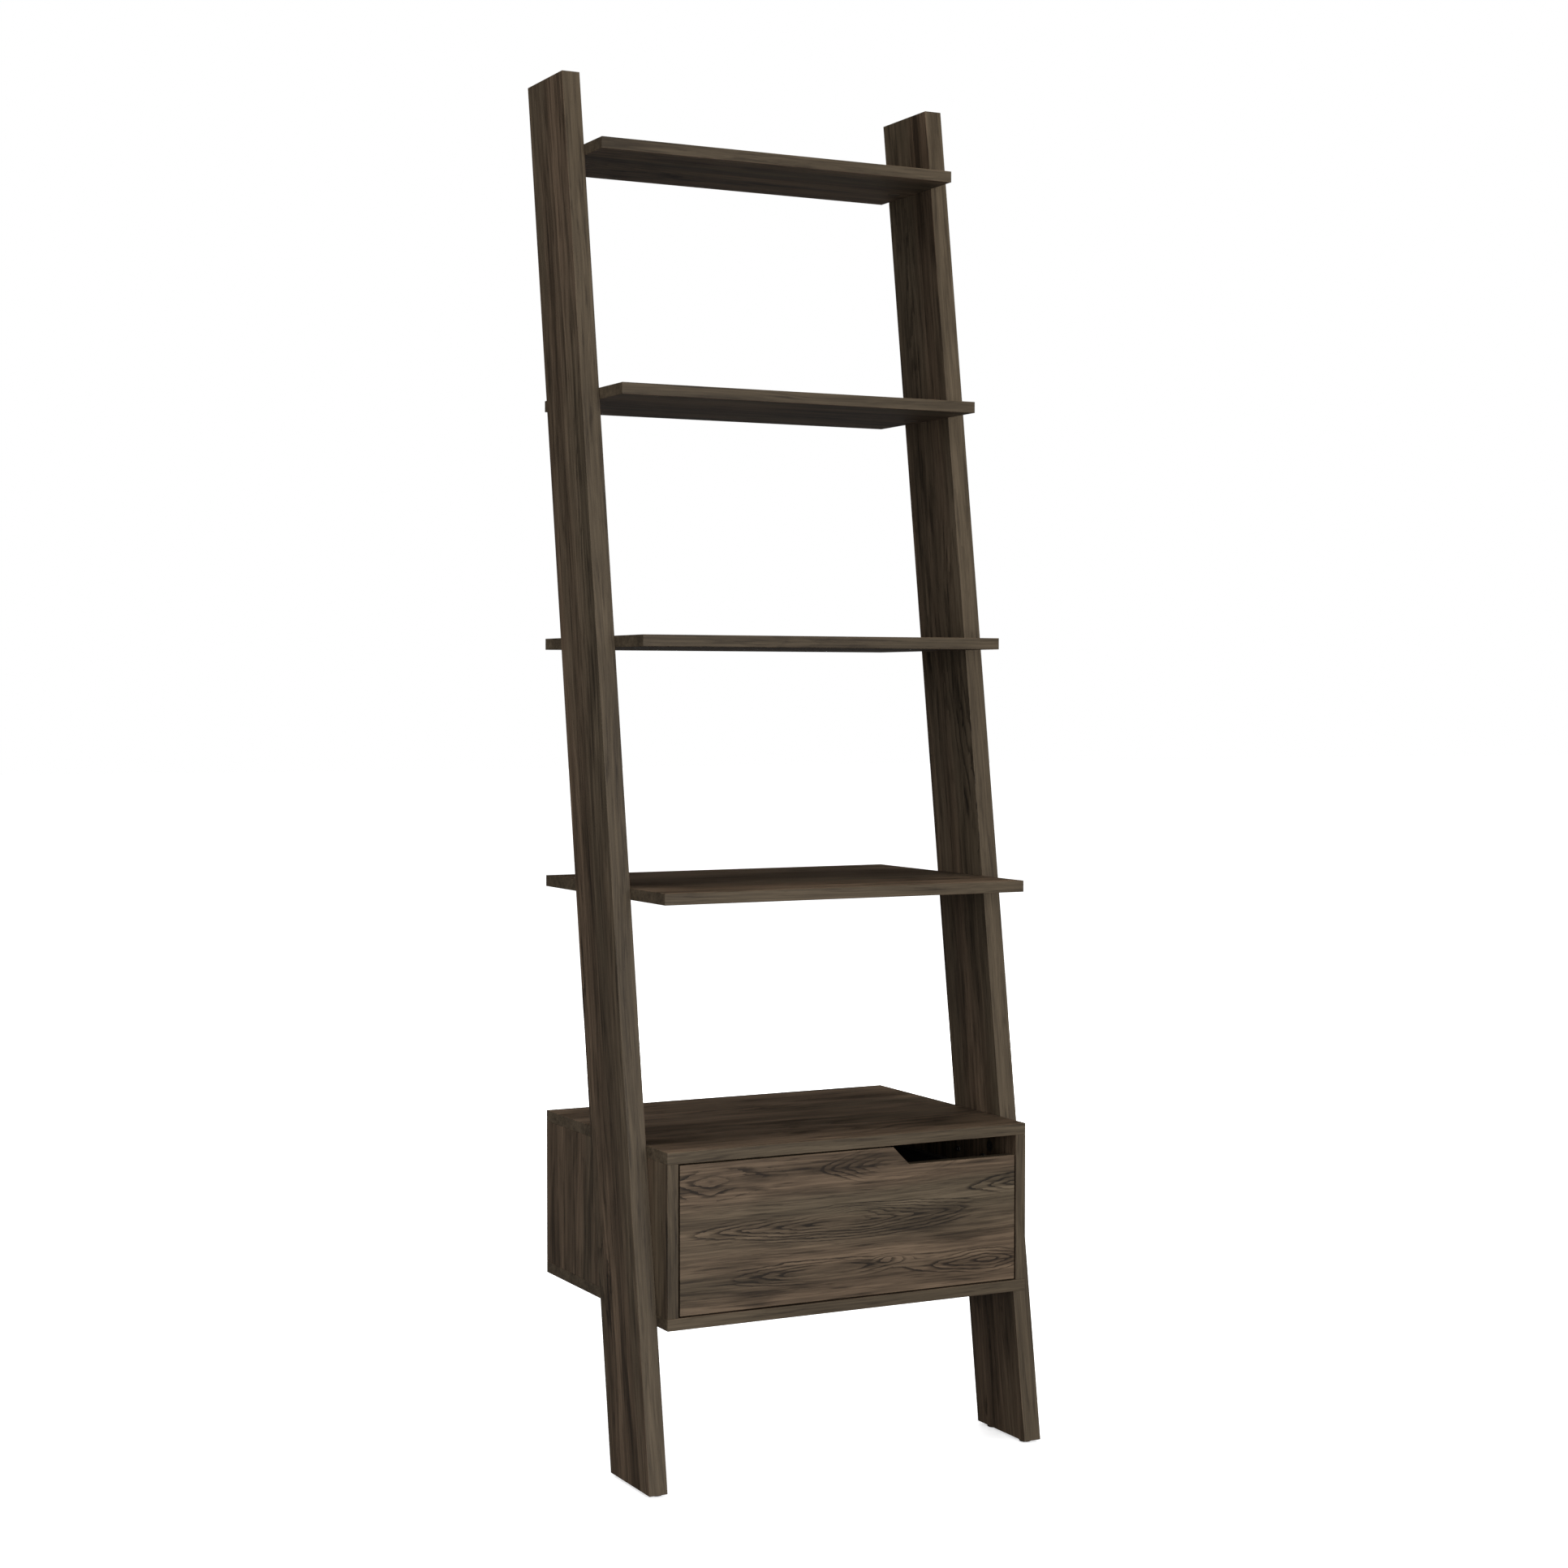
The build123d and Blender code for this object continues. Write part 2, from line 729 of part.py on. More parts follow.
cabinet_bolt_seats = both_sides(
    lambda side: cabinet_side_seats(side, cabinet_cam_inset, inside_top_z, 1)
)
cabinet_dowel_seats = both_sides(
    lambda side: cabinet_side_seats(side, cabinet_dowel_inset, inside_top_z, 1)
    + cabinet_side_seats(side, cabinet_dowel_inset, inside_floor_z, -1)
)
cabinet_long_screw_seats = both_sides(
    lambda side: cabinet_side_seats(side, cabinet_screw_inset, cabinet_bottom_z, 1)
)
save_group("cabinet_cam_bolts", cam_bolt(), cabinet_bolt_seats)
save_group("cabinet_cams", cam(board_thickness), both_sides(cabinet_cam_seats))
save_group("cabinet_dowels", dowel(dowel_radius, dowel_length), cabinet_dowel_seats)
save_group(
    "cabinet_bottom_screws",
    flat_screw(long_screw_radius, long_screw_length),
    cabinet_long_screw_seats,
)
save_group(
    "cabinet_rail_screws",
    pan_screw(rail_screw_radius, rail_screw_length),
    both_sides(rail_screw_seats),
)

# ---------------------------------------------------------------------------
# Glides
# ---------------------------------------------------------------------------

with BuildPart() as glide:
    with BuildSketch(Plane.YZ.offset(-glide_height)):
        Circle(glide_radius)
    extrude(amount=glide_height)
    fillet(glide.edges().group_by(Axis.X)[0], glide_edge_radius)
    with Locations(Plane(origin=(-glide_height, 0, 0), z_dir=(-1, 0, 0))):
        CounterBoreHole(
            nail_radius + hole_play,
            nail_head_radius + hole_play,
            glide_height - glide_floor_under_head + nail_head_height,
            glide_height,
        )
save_group("foot_glides", glide.part, both_sides(glide_seats))

nail_seats = [
    seat(place.origin.X, place.origin.Y, place.origin.Z - glide_floor_under_head + nail_head_height,
         (0, 0, 1), (1, 0, 0))
    for place in both_sides(glide_seats)
]
save_group("foot_glide_nails", glide_nail(), nail_seats)

# ---------------------------------------------------------------------------
# Wall brackets
# ---------------------------------------------------------------------------

bracket_z = shelf_top(1)
for side in SIDES:
    with BuildPart() as bracket:
        with BuildSketch(Plane.YZ.offset(side * bracket_spacing / 2)) as bracket_section:
            with BuildLine():
                Polyline(
                    (y_wall, bracket_z),
                    (y_wall, bracket_z + bracket_leg),
                    (y_wall - bracket_thickness, bracket_z + bracket_leg),
                    (y_wall - bracket_thickness, bracket_z + bracket_thickness),
                    (y_wall - bracket_leg, bracket_z + bracket_thickness),
                    (y_wall - bracket_leg, bracket_z),
                    close=True,
                )
            make_face()
            fillet(bracket_section.vertices().sort_by_distance((y_wall, bracket_z))[0], bracket_bend_radius)
        extrude(amount=bracket_width / 2, both=True)
        fillet(bracket.edges().filter_by(Axis.Y).group_by(Axis.Y)[0], bracket_bend_radius)
        fillet(bracket.edges().filter_by(Axis.Y).group_by(Axis.Z)[-1], bracket_bend_radius)
        hole_x = side * bracket_spacing / 2
        with Locations(Plane(origin=(hole_x, y_wall, bracket_z + bracket_hole_height), z_dir=(0, 1, 0))):
            Hole(bracket_hole_radius, bracket_thickness)
        with Locations(Plane(
            origin=(hole_x, y_wall - bracket_hole_height, bracket_z + bracket_thickness),
            z_dir=(0, 0, 1),
        )):
            Hole(bracket_hole_radius, bracket_thickness)
    finish(bracket, f"{SIDE_NAMES[side]}_wall_bracket")

save_group(
    "wall_bracket_screws",
    pan_screw(small_screw_radius, small_screw_length),
    bracket_seats(),
)

# ---------------------------------------------------------------------------
# Runners
# ---------------------------------------------------------------------------


def strip(side, near, far, low, high):
    """Rectangle in a runner's section, from offsets off the cabinet's side and heights."""
    with Locations((side * (inner_half - (near + far) / 2), (low + high) / 2)):
        Rectangle(far - near, high - low)


stop_drop = rear_roller_z - box_z - stop_height
stop_reach = sqrt(roller_radius**2 - stop_drop**2) + running_gap
front_stop_y = rear_roller_y - drawer_travel - stop_reach - sheet_thickness
rear_stop_y = rear_roller_y + stop_reach

for side in SIDES:
    with BuildPart() as cabinet_runner:
        with BuildSketch(section_at(member_front_y)):
            strip(side, 0, sheet_thickness, box_z - sheet_thickness, channel_top_z + sheet_thickness)
            strip(side, 0, channel_depth, box_z - sheet_thickness, box_z)
            strip(side, 0, channel_depth, channel_top_z, channel_top_z + sheet_thickness)
        extrude(amount=-runner_length)
        for stop_y in (front_stop_y, rear_stop_y):
            with BuildSketch(section_at(stop_y)):
                strip(side, sheet_thickness, channel_depth, box_z, box_z + stop_height)
            extrude(amount=-sheet_thickness)
        with Locations(*far_mouths(cabinet_runner_seats(side))):
            Hole(small_screw_radius + hole_play, sheet_thickness)
        web_face_x = side * (inner_half - sheet_thickness)
        with Locations(Plane(origin=(web_face_x, front_roller_y, front_roller_z), z_dir=(-side, 0, 0))):
            Hole(rivet_radius + rivet_play, sheet_thickness)
    finish(cabinet_runner, f"{SIDE_NAMES[side]}_cabinet_runner")

    flange_top_z = drawer_flange_z + sheet_thickness
    with BuildPart() as drawer_runner:
        with BuildSketch(section_at(front_back_y)):
            strip(side, member_web_offset, runner_side_gap, box_z - sheet_thickness, flange_top_z)
            strip(side, member_web_offset, runner_side_gap + member_flange, box_z - sheet_thickness, box_z)
            strip(side, lip_offset, runner_side_gap, drawer_flange_z, flange_top_z)
            strip(side, lip_offset, lip_offset + sheet_thickness, drawer_flange_z - lip_drop, flange_top_z)
        extrude(amount=-runner_length)
        with Locations(*far_mouths(drawer_runner_seats(side))):
            Hole(under_screw_radius + hole_play, sheet_thickness)
        web_face_x = side * (inner_half - member_web_offset)
        with Locations(Plane(origin=(web_face_x, rear_roller_y, rear_roller_z), z_dir=(side, 0, 0))):
            Hole(rivet_radius + rivet_play, sheet_thickness)
    finish(drawer_runner, f"{SIDE_NAMES[side]}_drawer_runner")

    roller_x = side * (inner_half - roller_offset - roller_width / 2)
    roller_places = {
        "cabinet_roller": (front_roller_y, front_roller_z),
        "drawer_roller": (rear_roller_y, rear_roller_z),
    }
    for name, (roller_y, roller_z) in roller_places.items():
        with BuildPart() as roller:
            with BuildSketch(Plane(origin=(roller_x, roller_y, roller_z), z_dir=(1, 0, 0))):
                Circle(roller_radius)
                Circle(rivet_radius + rivet_play, mode=Mode.SUBTRACT)
            extrude(amount=roller_width / 2, both=True)
            chamfer(roller.edges().group_by(Axis.X)[0].sort_by(SortBy.RADIUS)[-1], edge_radius)
            chamfer(roller.edges().group_by(Axis.X)[-1].sort_by(SortBy.RADIUS)[-1], edge_radius)
        finish(roller, f"{SIDE_NAMES[side]}_{name}")

save_group(
    "cabinet_roller_rivets",
    rivet(roller_offset - roller_side_gap - sheet_thickness),
    [seat(side * inner_half, front_roller_y, front_roller_z, (-side, 0, 0), (0, 0, 1)) for side in SIDES],
)
save_group(
    "drawer_roller_rivets",
    rivet(member_web_offset - roller_offset - roller_width - roller_side_gap),
    [seat(side * box_half, rear_roller_y, rear_roller_z, (side, 0, 0), (0, 0, 1)) for side in SIDES],
)
save_group(
    "cabinet_runner_screws",
    pan_screw(small_screw_radius, small_screw_length),
    both_sides(cabinet_runner_seats),
)

# ---------------------------------------------------------------------------
# Drawer
# ---------------------------------------------------------------------------

front_half = inner_half - front_gap
front_low_z = inside_floor_z + front_gap
front_top_z = inside_top_z - front_gap
notch_z = front_top_z - notch_depth
notch_start = front_half - notch_length

with BuildPart() as drawer_front:
    with BuildSketch(section_at(y_front)) as front_outline:
        with BuildLine():
            Polyline(
                (-front_half, front_low_z),
                (front_half, front_low_z),
                (front_half, notch_z),
                (notch_start + notch_depth, notch_z),
                (notch_start, front_top_z),
                (-front_half, front_top_z),
                close=True,
            )
        make_face()
        notch_corner = front_outline.vertices().sort_by_distance((notch_start + notch_depth, notch_z))[0]
        fillet(notch_corner, notch_corner_radius)
    extrude(amount=-board_thickness)
    fillet(drawer_front.edges(), edge_radius)
    with BuildSketch(section_at(front_back_y)):
        with Locations((0, box_bottom_z + panel_thickness / 2)):
            Rectangle(2 * (box_inner_half + drawer_groove_depth), panel_thickness + groove_play)
    extrude(amount=drawer_groove_depth, mode=Mode.SUBTRACT)
    for side in SIDES:
        with Locations(*far_mouths(drawer_bolt_seats(side))):
            Hole(bolt_thread_radius + hole_play, bolt_thread_length + hole_end_play)
        with Locations(*far_mouths(drawer_dowel_seats(side))):
            Hole(drawer_dowel_radius + hole_play, dowel_far_length + hole_end_play)
finish(drawer_front, "drawer_front")

for side in SIDES:
    inner_start = side * box_inner_half
    with BuildPart() as drawer_side:
        with BuildSketch(Plane.YZ.offset(inner_start)):
            with Locations(((front_back_y + box_rear_y) / 2, (box_z + box_top_z) / 2)):
                Rectangle(runner_length, drawer_side_height)
        extrude(amount=side * drawer_side_thickness)
        fillet(drawer_side.edges(), edge_radius)
        with BuildSketch(Plane.YZ.offset(inner_start)):
            with Locations(((front_back_y + box_rear_y) / 2, box_bottom_z + panel_thickness / 2)):
                Rectangle(runner_length, panel_thickness + groove_play)
        extrude(amount=side * drawer_groove_depth, mode=Mode.SUBTRACT)
        with Locations(*near_mouths(drawer_bolt_seats(side))):
            Hole(bolt_bore_radius, cam_inset)
        with Locations(*face_mouths(drawer_cam_seats(side))):
            Hole(cam_radius + hole_play, drawer_side_thickness - cam_skin + hole_end_play)
        with Locations(*near_mouths(drawer_dowel_seats(side))):
            near_length = drawer_dowel_length - dowel_far_length
            Hole(drawer_dowel_radius + hole_play, near_length + hole_end_play)
        with Locations(*far_mouths(drawer_back_seats(side))):
            CounterSinkHole(
                small_screw_radius + hole_play,
                small_screw_radius * pan_head_ratio + hole_play,
                drawer_side_thickness,
                90,
            )
        with Locations(*far_mouths(drawer_runner_seats(side))):
            Hole(under_screw_radius + hole_play, small_screw_length + hole_end_play)
    finish(drawer_side, f"drawer_{SIDE_NAMES[side]}_side")

with BuildPart() as drawer_back:
    with BuildSketch(section_at(box_rear_y - drawer_side_thickness)):
        with Locations((0, (box_floor_z + box_top_z) / 2)):
            Rectangle(2 * box_inner_half, box_top_z - box_floor_z)
    extrude(amount=-drawer_side_thickness)
    fillet(drawer_back.edges(), edge_radius)
    for side in SIDES:
        with Locations(*far_mouths(drawer_back_seats(side))):
            Hole(small_screw_radius + hole_play, drawer_back_screw_length + hole_end_play)
    with Locations(*far_mouths(drawer_bottom_seats())):
        Hole(under_screw_radius + hole_play, small_screw_length + hole_end_play)
finish(drawer_back, "drawer_back")

with BuildPart() as drawer_bottom:
    bottom_front_y = front_back_y - drawer_groove_depth + panel_end_play
    with BuildSketch(Plane.XY.offset(box_bottom_z)):
        with Locations((0, (bottom_front_y + box_rear_y) / 2)):
            Rectangle(
                2 * (box_inner_half + drawer_groove_depth - panel_end_play),
                box_rear_y - bottom_front_y,
            )
    extrude(amount=panel_thickness)
    with Locations(*far_mouths(drawer_bottom_seats())):
        Hole(under_screw_radius + hole_play, panel_thickness)
finish(drawer_bottom, "drawer_bottom")

save_group("drawer_cam_bolts", cam_bolt(), both_sides(drawer_bolt_seats))
save_group("drawer_cams", cam(drawer_side_thickness), both_sides(drawer_cam_seats))
save_group(
    "drawer_dowels",
    dowel(drawer_dowel_radius, drawer_dowel_length),
    both_sides(drawer_dowel_seats),
)
save_group(
    "drawer_back_screws",
    flat_screw(small_screw_radius, drawer_back_screw_length),
    both_sides(drawer_back_seats),
)
save_group(
    "drawer_bottom_screws",
    pan_screw(under_screw_radius, small_screw_length),
    drawer_bottom_seats(),
)
save_group(
    "drawer_runner_screws",
    pan_screw(under_screw_radius, small_screw_length),
    both_sides(drawer_runner_seats),
)
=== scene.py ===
# %% [markdown]
# # A ladder shelf that leans on a wall
#
# Two slanted rails carry four open shelves and a low cabinet with one drawer. The boards are
# particleboard under a dark walnut print. The solid model already has the right shapes and places,
# so Blender adds what shows: the print on each board, the coatings of the fittings, threads and
# flutes, and a plain studio.

import json
from math import atan, pi, radians

import bpy
import numpy as np
from mathutils import Euler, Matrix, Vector


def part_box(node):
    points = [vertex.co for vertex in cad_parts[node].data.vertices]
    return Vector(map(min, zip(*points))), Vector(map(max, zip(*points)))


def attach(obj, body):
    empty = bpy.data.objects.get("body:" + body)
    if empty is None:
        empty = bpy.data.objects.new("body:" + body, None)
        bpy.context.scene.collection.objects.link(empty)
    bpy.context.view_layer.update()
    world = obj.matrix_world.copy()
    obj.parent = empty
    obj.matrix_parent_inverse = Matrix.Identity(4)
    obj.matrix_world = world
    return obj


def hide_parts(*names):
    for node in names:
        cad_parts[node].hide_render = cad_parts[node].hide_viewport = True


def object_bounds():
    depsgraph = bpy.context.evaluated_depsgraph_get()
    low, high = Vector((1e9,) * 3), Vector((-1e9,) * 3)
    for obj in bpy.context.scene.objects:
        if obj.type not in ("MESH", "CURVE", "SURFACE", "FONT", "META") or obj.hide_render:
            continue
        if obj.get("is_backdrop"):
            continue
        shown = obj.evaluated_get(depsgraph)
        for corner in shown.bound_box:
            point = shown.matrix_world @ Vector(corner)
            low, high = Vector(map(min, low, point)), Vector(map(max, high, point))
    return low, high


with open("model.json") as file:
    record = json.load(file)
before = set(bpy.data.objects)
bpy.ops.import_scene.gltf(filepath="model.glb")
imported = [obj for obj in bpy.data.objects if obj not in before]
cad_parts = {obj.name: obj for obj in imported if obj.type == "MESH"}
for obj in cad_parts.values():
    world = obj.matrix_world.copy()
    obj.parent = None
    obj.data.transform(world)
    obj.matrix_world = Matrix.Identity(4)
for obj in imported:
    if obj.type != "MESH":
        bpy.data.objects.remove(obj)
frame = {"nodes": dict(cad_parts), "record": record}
nodes = frame["nodes"]
cad_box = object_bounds()
print("nodes", len(nodes), "box", [tuple(round(v, 4) for v in corner) for corner in cad_box])

# %% [markdown]
# ## The studio
#
# A shelf this tall is best seen from a few metres away through a longish lens, level with its
# middle, so that its verticals stay straight. A camera could be aimed with a constraint, but a
# fixed place and turn are simpler and never drift.

# %% The camera
IMAGE_SIDE = 1932.0  # the picture is square
FOCAL_STEPS = 3358.97  # focal length, counted in steps of the picture's width
SENSOR_MM = 36.0

camera = bpy.data.objects.new("camera", bpy.data.cameras.new("camera"))
bpy.context.scene.collection.objects.link(camera)
camera.data.sensor_width = SENSOR_MM
camera.data.lens = FOCAL_STEPS / IMAGE_SIDE * SENSOR_MM
camera.location = (-1.66034, -3.23424, 0.99427)
camera.rotation_euler = (pi / 2 - 0.033359, -0.000263, -0.474808)
bpy.context.scene.camera = camera
print("lens", round(camera.data.lens, 2), "mm")

# %% [markdown]
# ## Nodes in few words
#
# Every finish below is a small web of shader nodes. Wiring them by hand in the editor is the usual
# way. In a script, one helper that makes a node and feeds its inputs keeps each recipe readable.


# %% Helpers for shader nodes
def add_node(tree, kind, inputs=None, **settings):
    """Adds a node and sets it up; an input gets a number, a colour or another node's output."""
    node = tree.nodes.new("ShaderNode" + kind)
    for name, value in settings.items():
        setattr(node, name, value)
    for name, value in (inputs or {}).items():
        if isinstance(value, bpy.types.NodeSocket):
            tree.links.new(value, node.inputs[name])
        else:
            node.inputs[name].default_value = value
    return node


def reckon(tree, operation, first, second=0.0, third=0.0):
    """Output of one sum on numbers, such as ADD or MULTIPLY."""
    return add_node(tree, "Math", {0: first, 1: second, 2: third}, operation=operation).outputs[0]


def stretched(tree, place, along, across):
    """A place with its run along the grain and its two runs across it scaled apart."""
    scale = (along, across, across)
    return add_node(tree, "VectorMath", {0: place, 1: scale}, operation="MULTIPLY").outputs[0]


def cloud(tree, place, detail=2.0, rough=0.5):
    """Soft noise from 0 to 1 at a place that is already scaled."""
    inputs = {"Vector": place, "Scale": 1.0, "Detail": detail, "Roughness": rough}
    return add_node(tree, "TexNoise", inputs).outputs[0]


def ramp(tree, share, stops):
    """Colour that blends through (position, colour) stops."""
    node = add_node(tree, "ValToRGB", {0: share})
    band = node.color_ramp
    while len(band.elements) < len(stops):
        band.elements.new(0.5)
    for element, (position, colour) in zip(band.elements, stops):
        element.position = position
        element.color = (*colour, 1.0)
    return node.outputs[0]


def rescale(tree, value, low, high, to_low=0.0, to_high=1.0):
    """A value's range moved smoothly to another range, and held at its ends."""
    inputs = {0: value, 1: low, 2: high, 3: to_low, 4: to_high}
    return add_node(tree, "MapRange", inputs, interpolation_type="SMOOTHSTEP").outputs[0]


def start_finish(name):
    """A new material, its node tree and its main shader."""
    material = bpy.data.materials.new(name)
    material.use_nodes = True
    tree = material.node_tree
    return material, tree, tree.nodes["Principled BSDF"]


# %% [markdown]
# ## Floor and light
#
# The shelf stands on a plain pale floor that runs on into a white backdrop. A studio would use a
# white sweep lit from behind, so that it glows without colouring the object. Here the floor glows a
# little for the camera alone, and gives back only a weak light to the boards above it.

# %% The floor
FLOOR_HALF = 30.0
NEAR_GLOW, FAR_GLOW = 0.6, 1.0
GLOW_RANGE = (1.0, 4.0)  # metres from the shelf over which the first turns into the second

corners = np.array([(-1, -1, 0), (1, -1, 0), (1, 1, 0), (-1, 1, 0)], float) * FLOOR_HALF
floor_mesh = bpy.data.meshes.new("floor")
floor_mesh.from_pydata(corners.tolist(), [], [(0, 1, 2, 3)])
floor = bpy.data.objects.new("floor", floor_mesh)
bpy.context.scene.collection.objects.link(floor)
floor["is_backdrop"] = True

floor_paint, tree, shader = start_finish("floor_paint")
tree.nodes.remove(shader)
seen = add_node(tree, "LightPath").outputs["Is Camera Ray"]
pale = add_node(tree, "BsdfDiffuse", {"Color": (0.9, 0.9, 0.9, 1)}).outputs[0]
spot = add_node(tree, "TexCoord").outputs["Object"]
far = add_node(tree, "VectorMath", {0: spot}, operation="LENGTH").outputs["Value"]
glow_strength = rescale(tree, far, *GLOW_RANGE, NEAR_GLOW, FAR_GLOW)
glow = add_node(tree, "Emission", {"Color": (1, 1, 1, 1), "Strength": glow_strength}).outputs[0]
lit = add_node(tree, "AddShader", {0: pale, 1: glow}).outputs[0]
dull = add_node(tree, "BsdfDiffuse", {"Color": (0.10, 0.10, 0.10, 1)}).outputs[0]
both = add_node(tree, "MixShader", {0: seen, 1: dull, 2: lit}).outputs[0]
tree.links.new(both, tree.nodes["Material Output"].inputs["Surface"])
floor_mesh.materials.append(floor_paint)

# %% The backdrop
AMBIENT = 0.27  # how brightly the backdrop lights the shelf; it is seen at 1

world = bpy.data.worlds.new("studio")
bpy.context.scene.world = world
world.use_nodes = True
tree = world.node_tree
seen = add_node(tree, "LightPath").outputs["Is Camera Ray"]
strength = add_node(tree, "MapRange", {0: seen, 3: AMBIENT, 4: 1.0}).outputs[0]
tree.links.new(strength, tree.nodes["Background"].inputs["Strength"])
tree.nodes["Background"].inputs["Color"].default_value = (1, 1, 1, 1)
world.cycles_visibility.glossy = False  # the studio's walls are not mirrored in the matt boards


# %% The lamps
def softbox(name, place, aim, width, height, watts, mirrored=True):
    """A rectangular lamp at a place, turned to face a point."""
    lamp = bpy.data.lights.new(name, "AREA")
    lamp.shape = "RECTANGLE"
    lamp.size = width
    lamp.size_y = height
    lamp.energy = watts
    lamp_object = bpy.data.objects.new(name, lamp)
    lamp_object.location = place
    lamp_object.rotation_euler = (Vector(aim) - Vector(place)).to_track_quat("-Z", "Y").to_euler()
    lamp_object.visible_glossy = mirrored
    bpy.context.scene.collection.objects.link(lamp_object)


middle = (0.0, 0.0, 0.95)
softbox("front_softbox", (-0.25, -4.6, 1.15), middle, 2.2, 2.0, 185.0)
softbox("left_softbox", (-4.8, -0.25, 1.5), middle, 2.2, 2.2, 86.0)
softbox("top_softbox", (0.1, -0.2, 4.6), middle, 2.0, 2.0, 138.0, False)
softbox("rear_softbox", (1.9, 4.3, 1.7), middle, 2.2, 2.2, 150.0, False)

bpy.context.scene.view_settings.view_transform = "Standard"

# %% [markdown]
# ## The walnut print
#
# The boards carry a printed paper under melamine: plain-sawn walnut, matt and a little open-pored
# to the touch. It could be an image, but a solid pattern worked out from the place needs no picture
# and goes round every edge. The pattern lives in grain coordinates: the first runs along the grain,
# the other two across it. Noises stretched along the grain are layered there, from broad zones down
# to pores, with the growth rings that make pointed arches on top. The narrow edges carry their own
# strip, plainer and greyer than the faces.

# %% The walnut's colours
WARM = ((0.0, (0.0165, 0.0104, 0.0064)), (0.28, (0.0430, 0.0286, 0.0171)),
        (0.58, (0.0930, 0.0630, 0.0400)), (1.0, (0.1900, 0.1320, 0.0860)))
GREY = ((0.0, (0.0150, 0.0108, 0.0071)), (0.28, (0.0385, 0.0278, 0.0172)),
        (0.58, (0.0785, 0.0585, 0.0368)), (1.0, (0.1480, 0.1120, 0.0740)))


# %% Growth rings
POINTEDNESS = 1.4  # 2 gives ellipses, 1 gives diamonds
RING_WIDTH = 0.55  # share of a ring that its dark line takes
RINGS_IN_NOISE = 19.0  # rings from the noise's lowest to its highest value
RINGS_BESIDE_ARCHES = 3.0  # the same, where known arches lead
RING_WOBBLE = 1.5


def hill(tree, place, centre, reach, rings):
    """A cone-shaped rise in the ring count round a centre, with its own reach to the left, to the
    right and across the grain, so that its level lines are nested pointed arches."""
    split = add_node(tree, "SeparateXYZ", {0: place}).outputs
    along = reckon(tree, "SUBTRACT", split[0], centre[0])
    across = reckon(tree, "SUBTRACT", split[1], centre[1])
    left = reckon(tree, "MULTIPLY", along, -1.0 / reach[0])
    right = reckon(tree, "MULTIPLY", along, 1.0 / reach[1])
    along = reckon(tree, "MAXIMUM", left, right)
    across = reckon(tree, "DIVIDE", across, reach[2])
    across = reckon(tree, "POWER", reckon(tree, "ABSOLUTE", across), POINTEDNESS)
    along = reckon(tree, "POWER", along, POINTEDNESS)
    distance = reckon(tree, "POWER", reckon(tree, "ADD", along, across), 1 / POINTEDNESS)
    rise = reckon(tree, "MAXIMUM", reckon(tree, "SUBTRACT", 1.0, distance), 0.0)
    return reckon(tree, "MULTIPLY", rise, rings)


def ring_lines(tree, count, width):
    """Dark lines where a ring count passes a whole number: they darken slowly and end sharply."""
    part = reckon(tree, "FRACT", count)
    rising = rescale(tree, part, 1.0 - width, 0.97)
    falling = rescale(tree, part, 0.965, 1.0, 1.0, 0.0)
    return reckon(tree, "MULTIPLY", rising, falling)


# %% The layers of the print
# Each noise: cells a metre along the grain and across it, octaves, and how rough they are.
LAYERS = {
    "drift": (2.2, 9.0, 2.0, 0.5),
    "broad": (0.9, 13.0, 1.0, 0.5),
    "zones": (1.6, 30.0, 2.0, 0.5),
    "streaks": (3.6, 150.0, 4.0, 0.62),
    "threads": (10.0, 480.0, 3.0, 0.6),
    "dashes": (13.0, 230.0, 3.0, 0.65),
    "flames": (4.5, 42.0, 2.5, 0.6),
    "pores": (55.0, 1500.0, 1.0, 0.5),
    "rings": (2.0, 10.0, 0.5, 0.5),
    "wobble": (24.0, 110.0, 3.0, 0.6),
    "patches": (7.0, 30.0, 1.0, 0.5),
    "figured": (1.7, 9.0, 1.0, 0.5),
}
# How much each layer lightens or darkens the print, which lies at MIDDLE_LIGHT without them.
WEIGHT = {"zones": 0.80, "streaks": 1.00, "threads": 0.80, "dashes": -0.26, "flames": -0.26,
          "pores": -0.10, "rings": -0.46, "edge": -0.05}
MIDDLE_LIGHT = 0.57
# A mark is absent where its noise is below the first value, and full above the second.
MARKS = {"dashes": (0.52, 0.70), "flames": (0.53, 0.68), "pores": (0.62, 0.74),
         "patches": (0.36, 0.58), "figured": (0.50, 0.64)}
GREY_SHARE = (0.44, 0.66)  # the same for the grey zones among the warm ones
MISSING_ON_EDGES = {"streaks": 0.25, "flames": 0.7, "rings": 0.8}
ROUGHNESS, ROUGHNESS_SWING = 0.5, 0.16
PORE_DEPTH = 0.6  # in the bump, next to threads of depth 1
DRIFT_METRES = 0.022
EDGE_START = (0.0005, 0.0003)  # metres below a face where the edge's strip is whole, and gone


def layer(tree, place, name):
    """One of the layers at a place in grain coordinates, from 0 to 1."""
    along, across, detail, rough = LAYERS[name]
    return cloud(tree, stretched(tree, place, along, across), detail, rough)


def mark(tree, place, name):
    """The dark marks of a layer: 0 where there is none and 1 where one is full."""
    return rescale(tree, layer(tree, place, name), *MARKS[name])


def fading(tree, band, name):
    """How much of a layer is left: 1 on the faces, less where band marks an edge."""
    return reckon(tree, "MULTIPLY_ADD", band, -MISSING_ON_EDGES[name], 1.0)


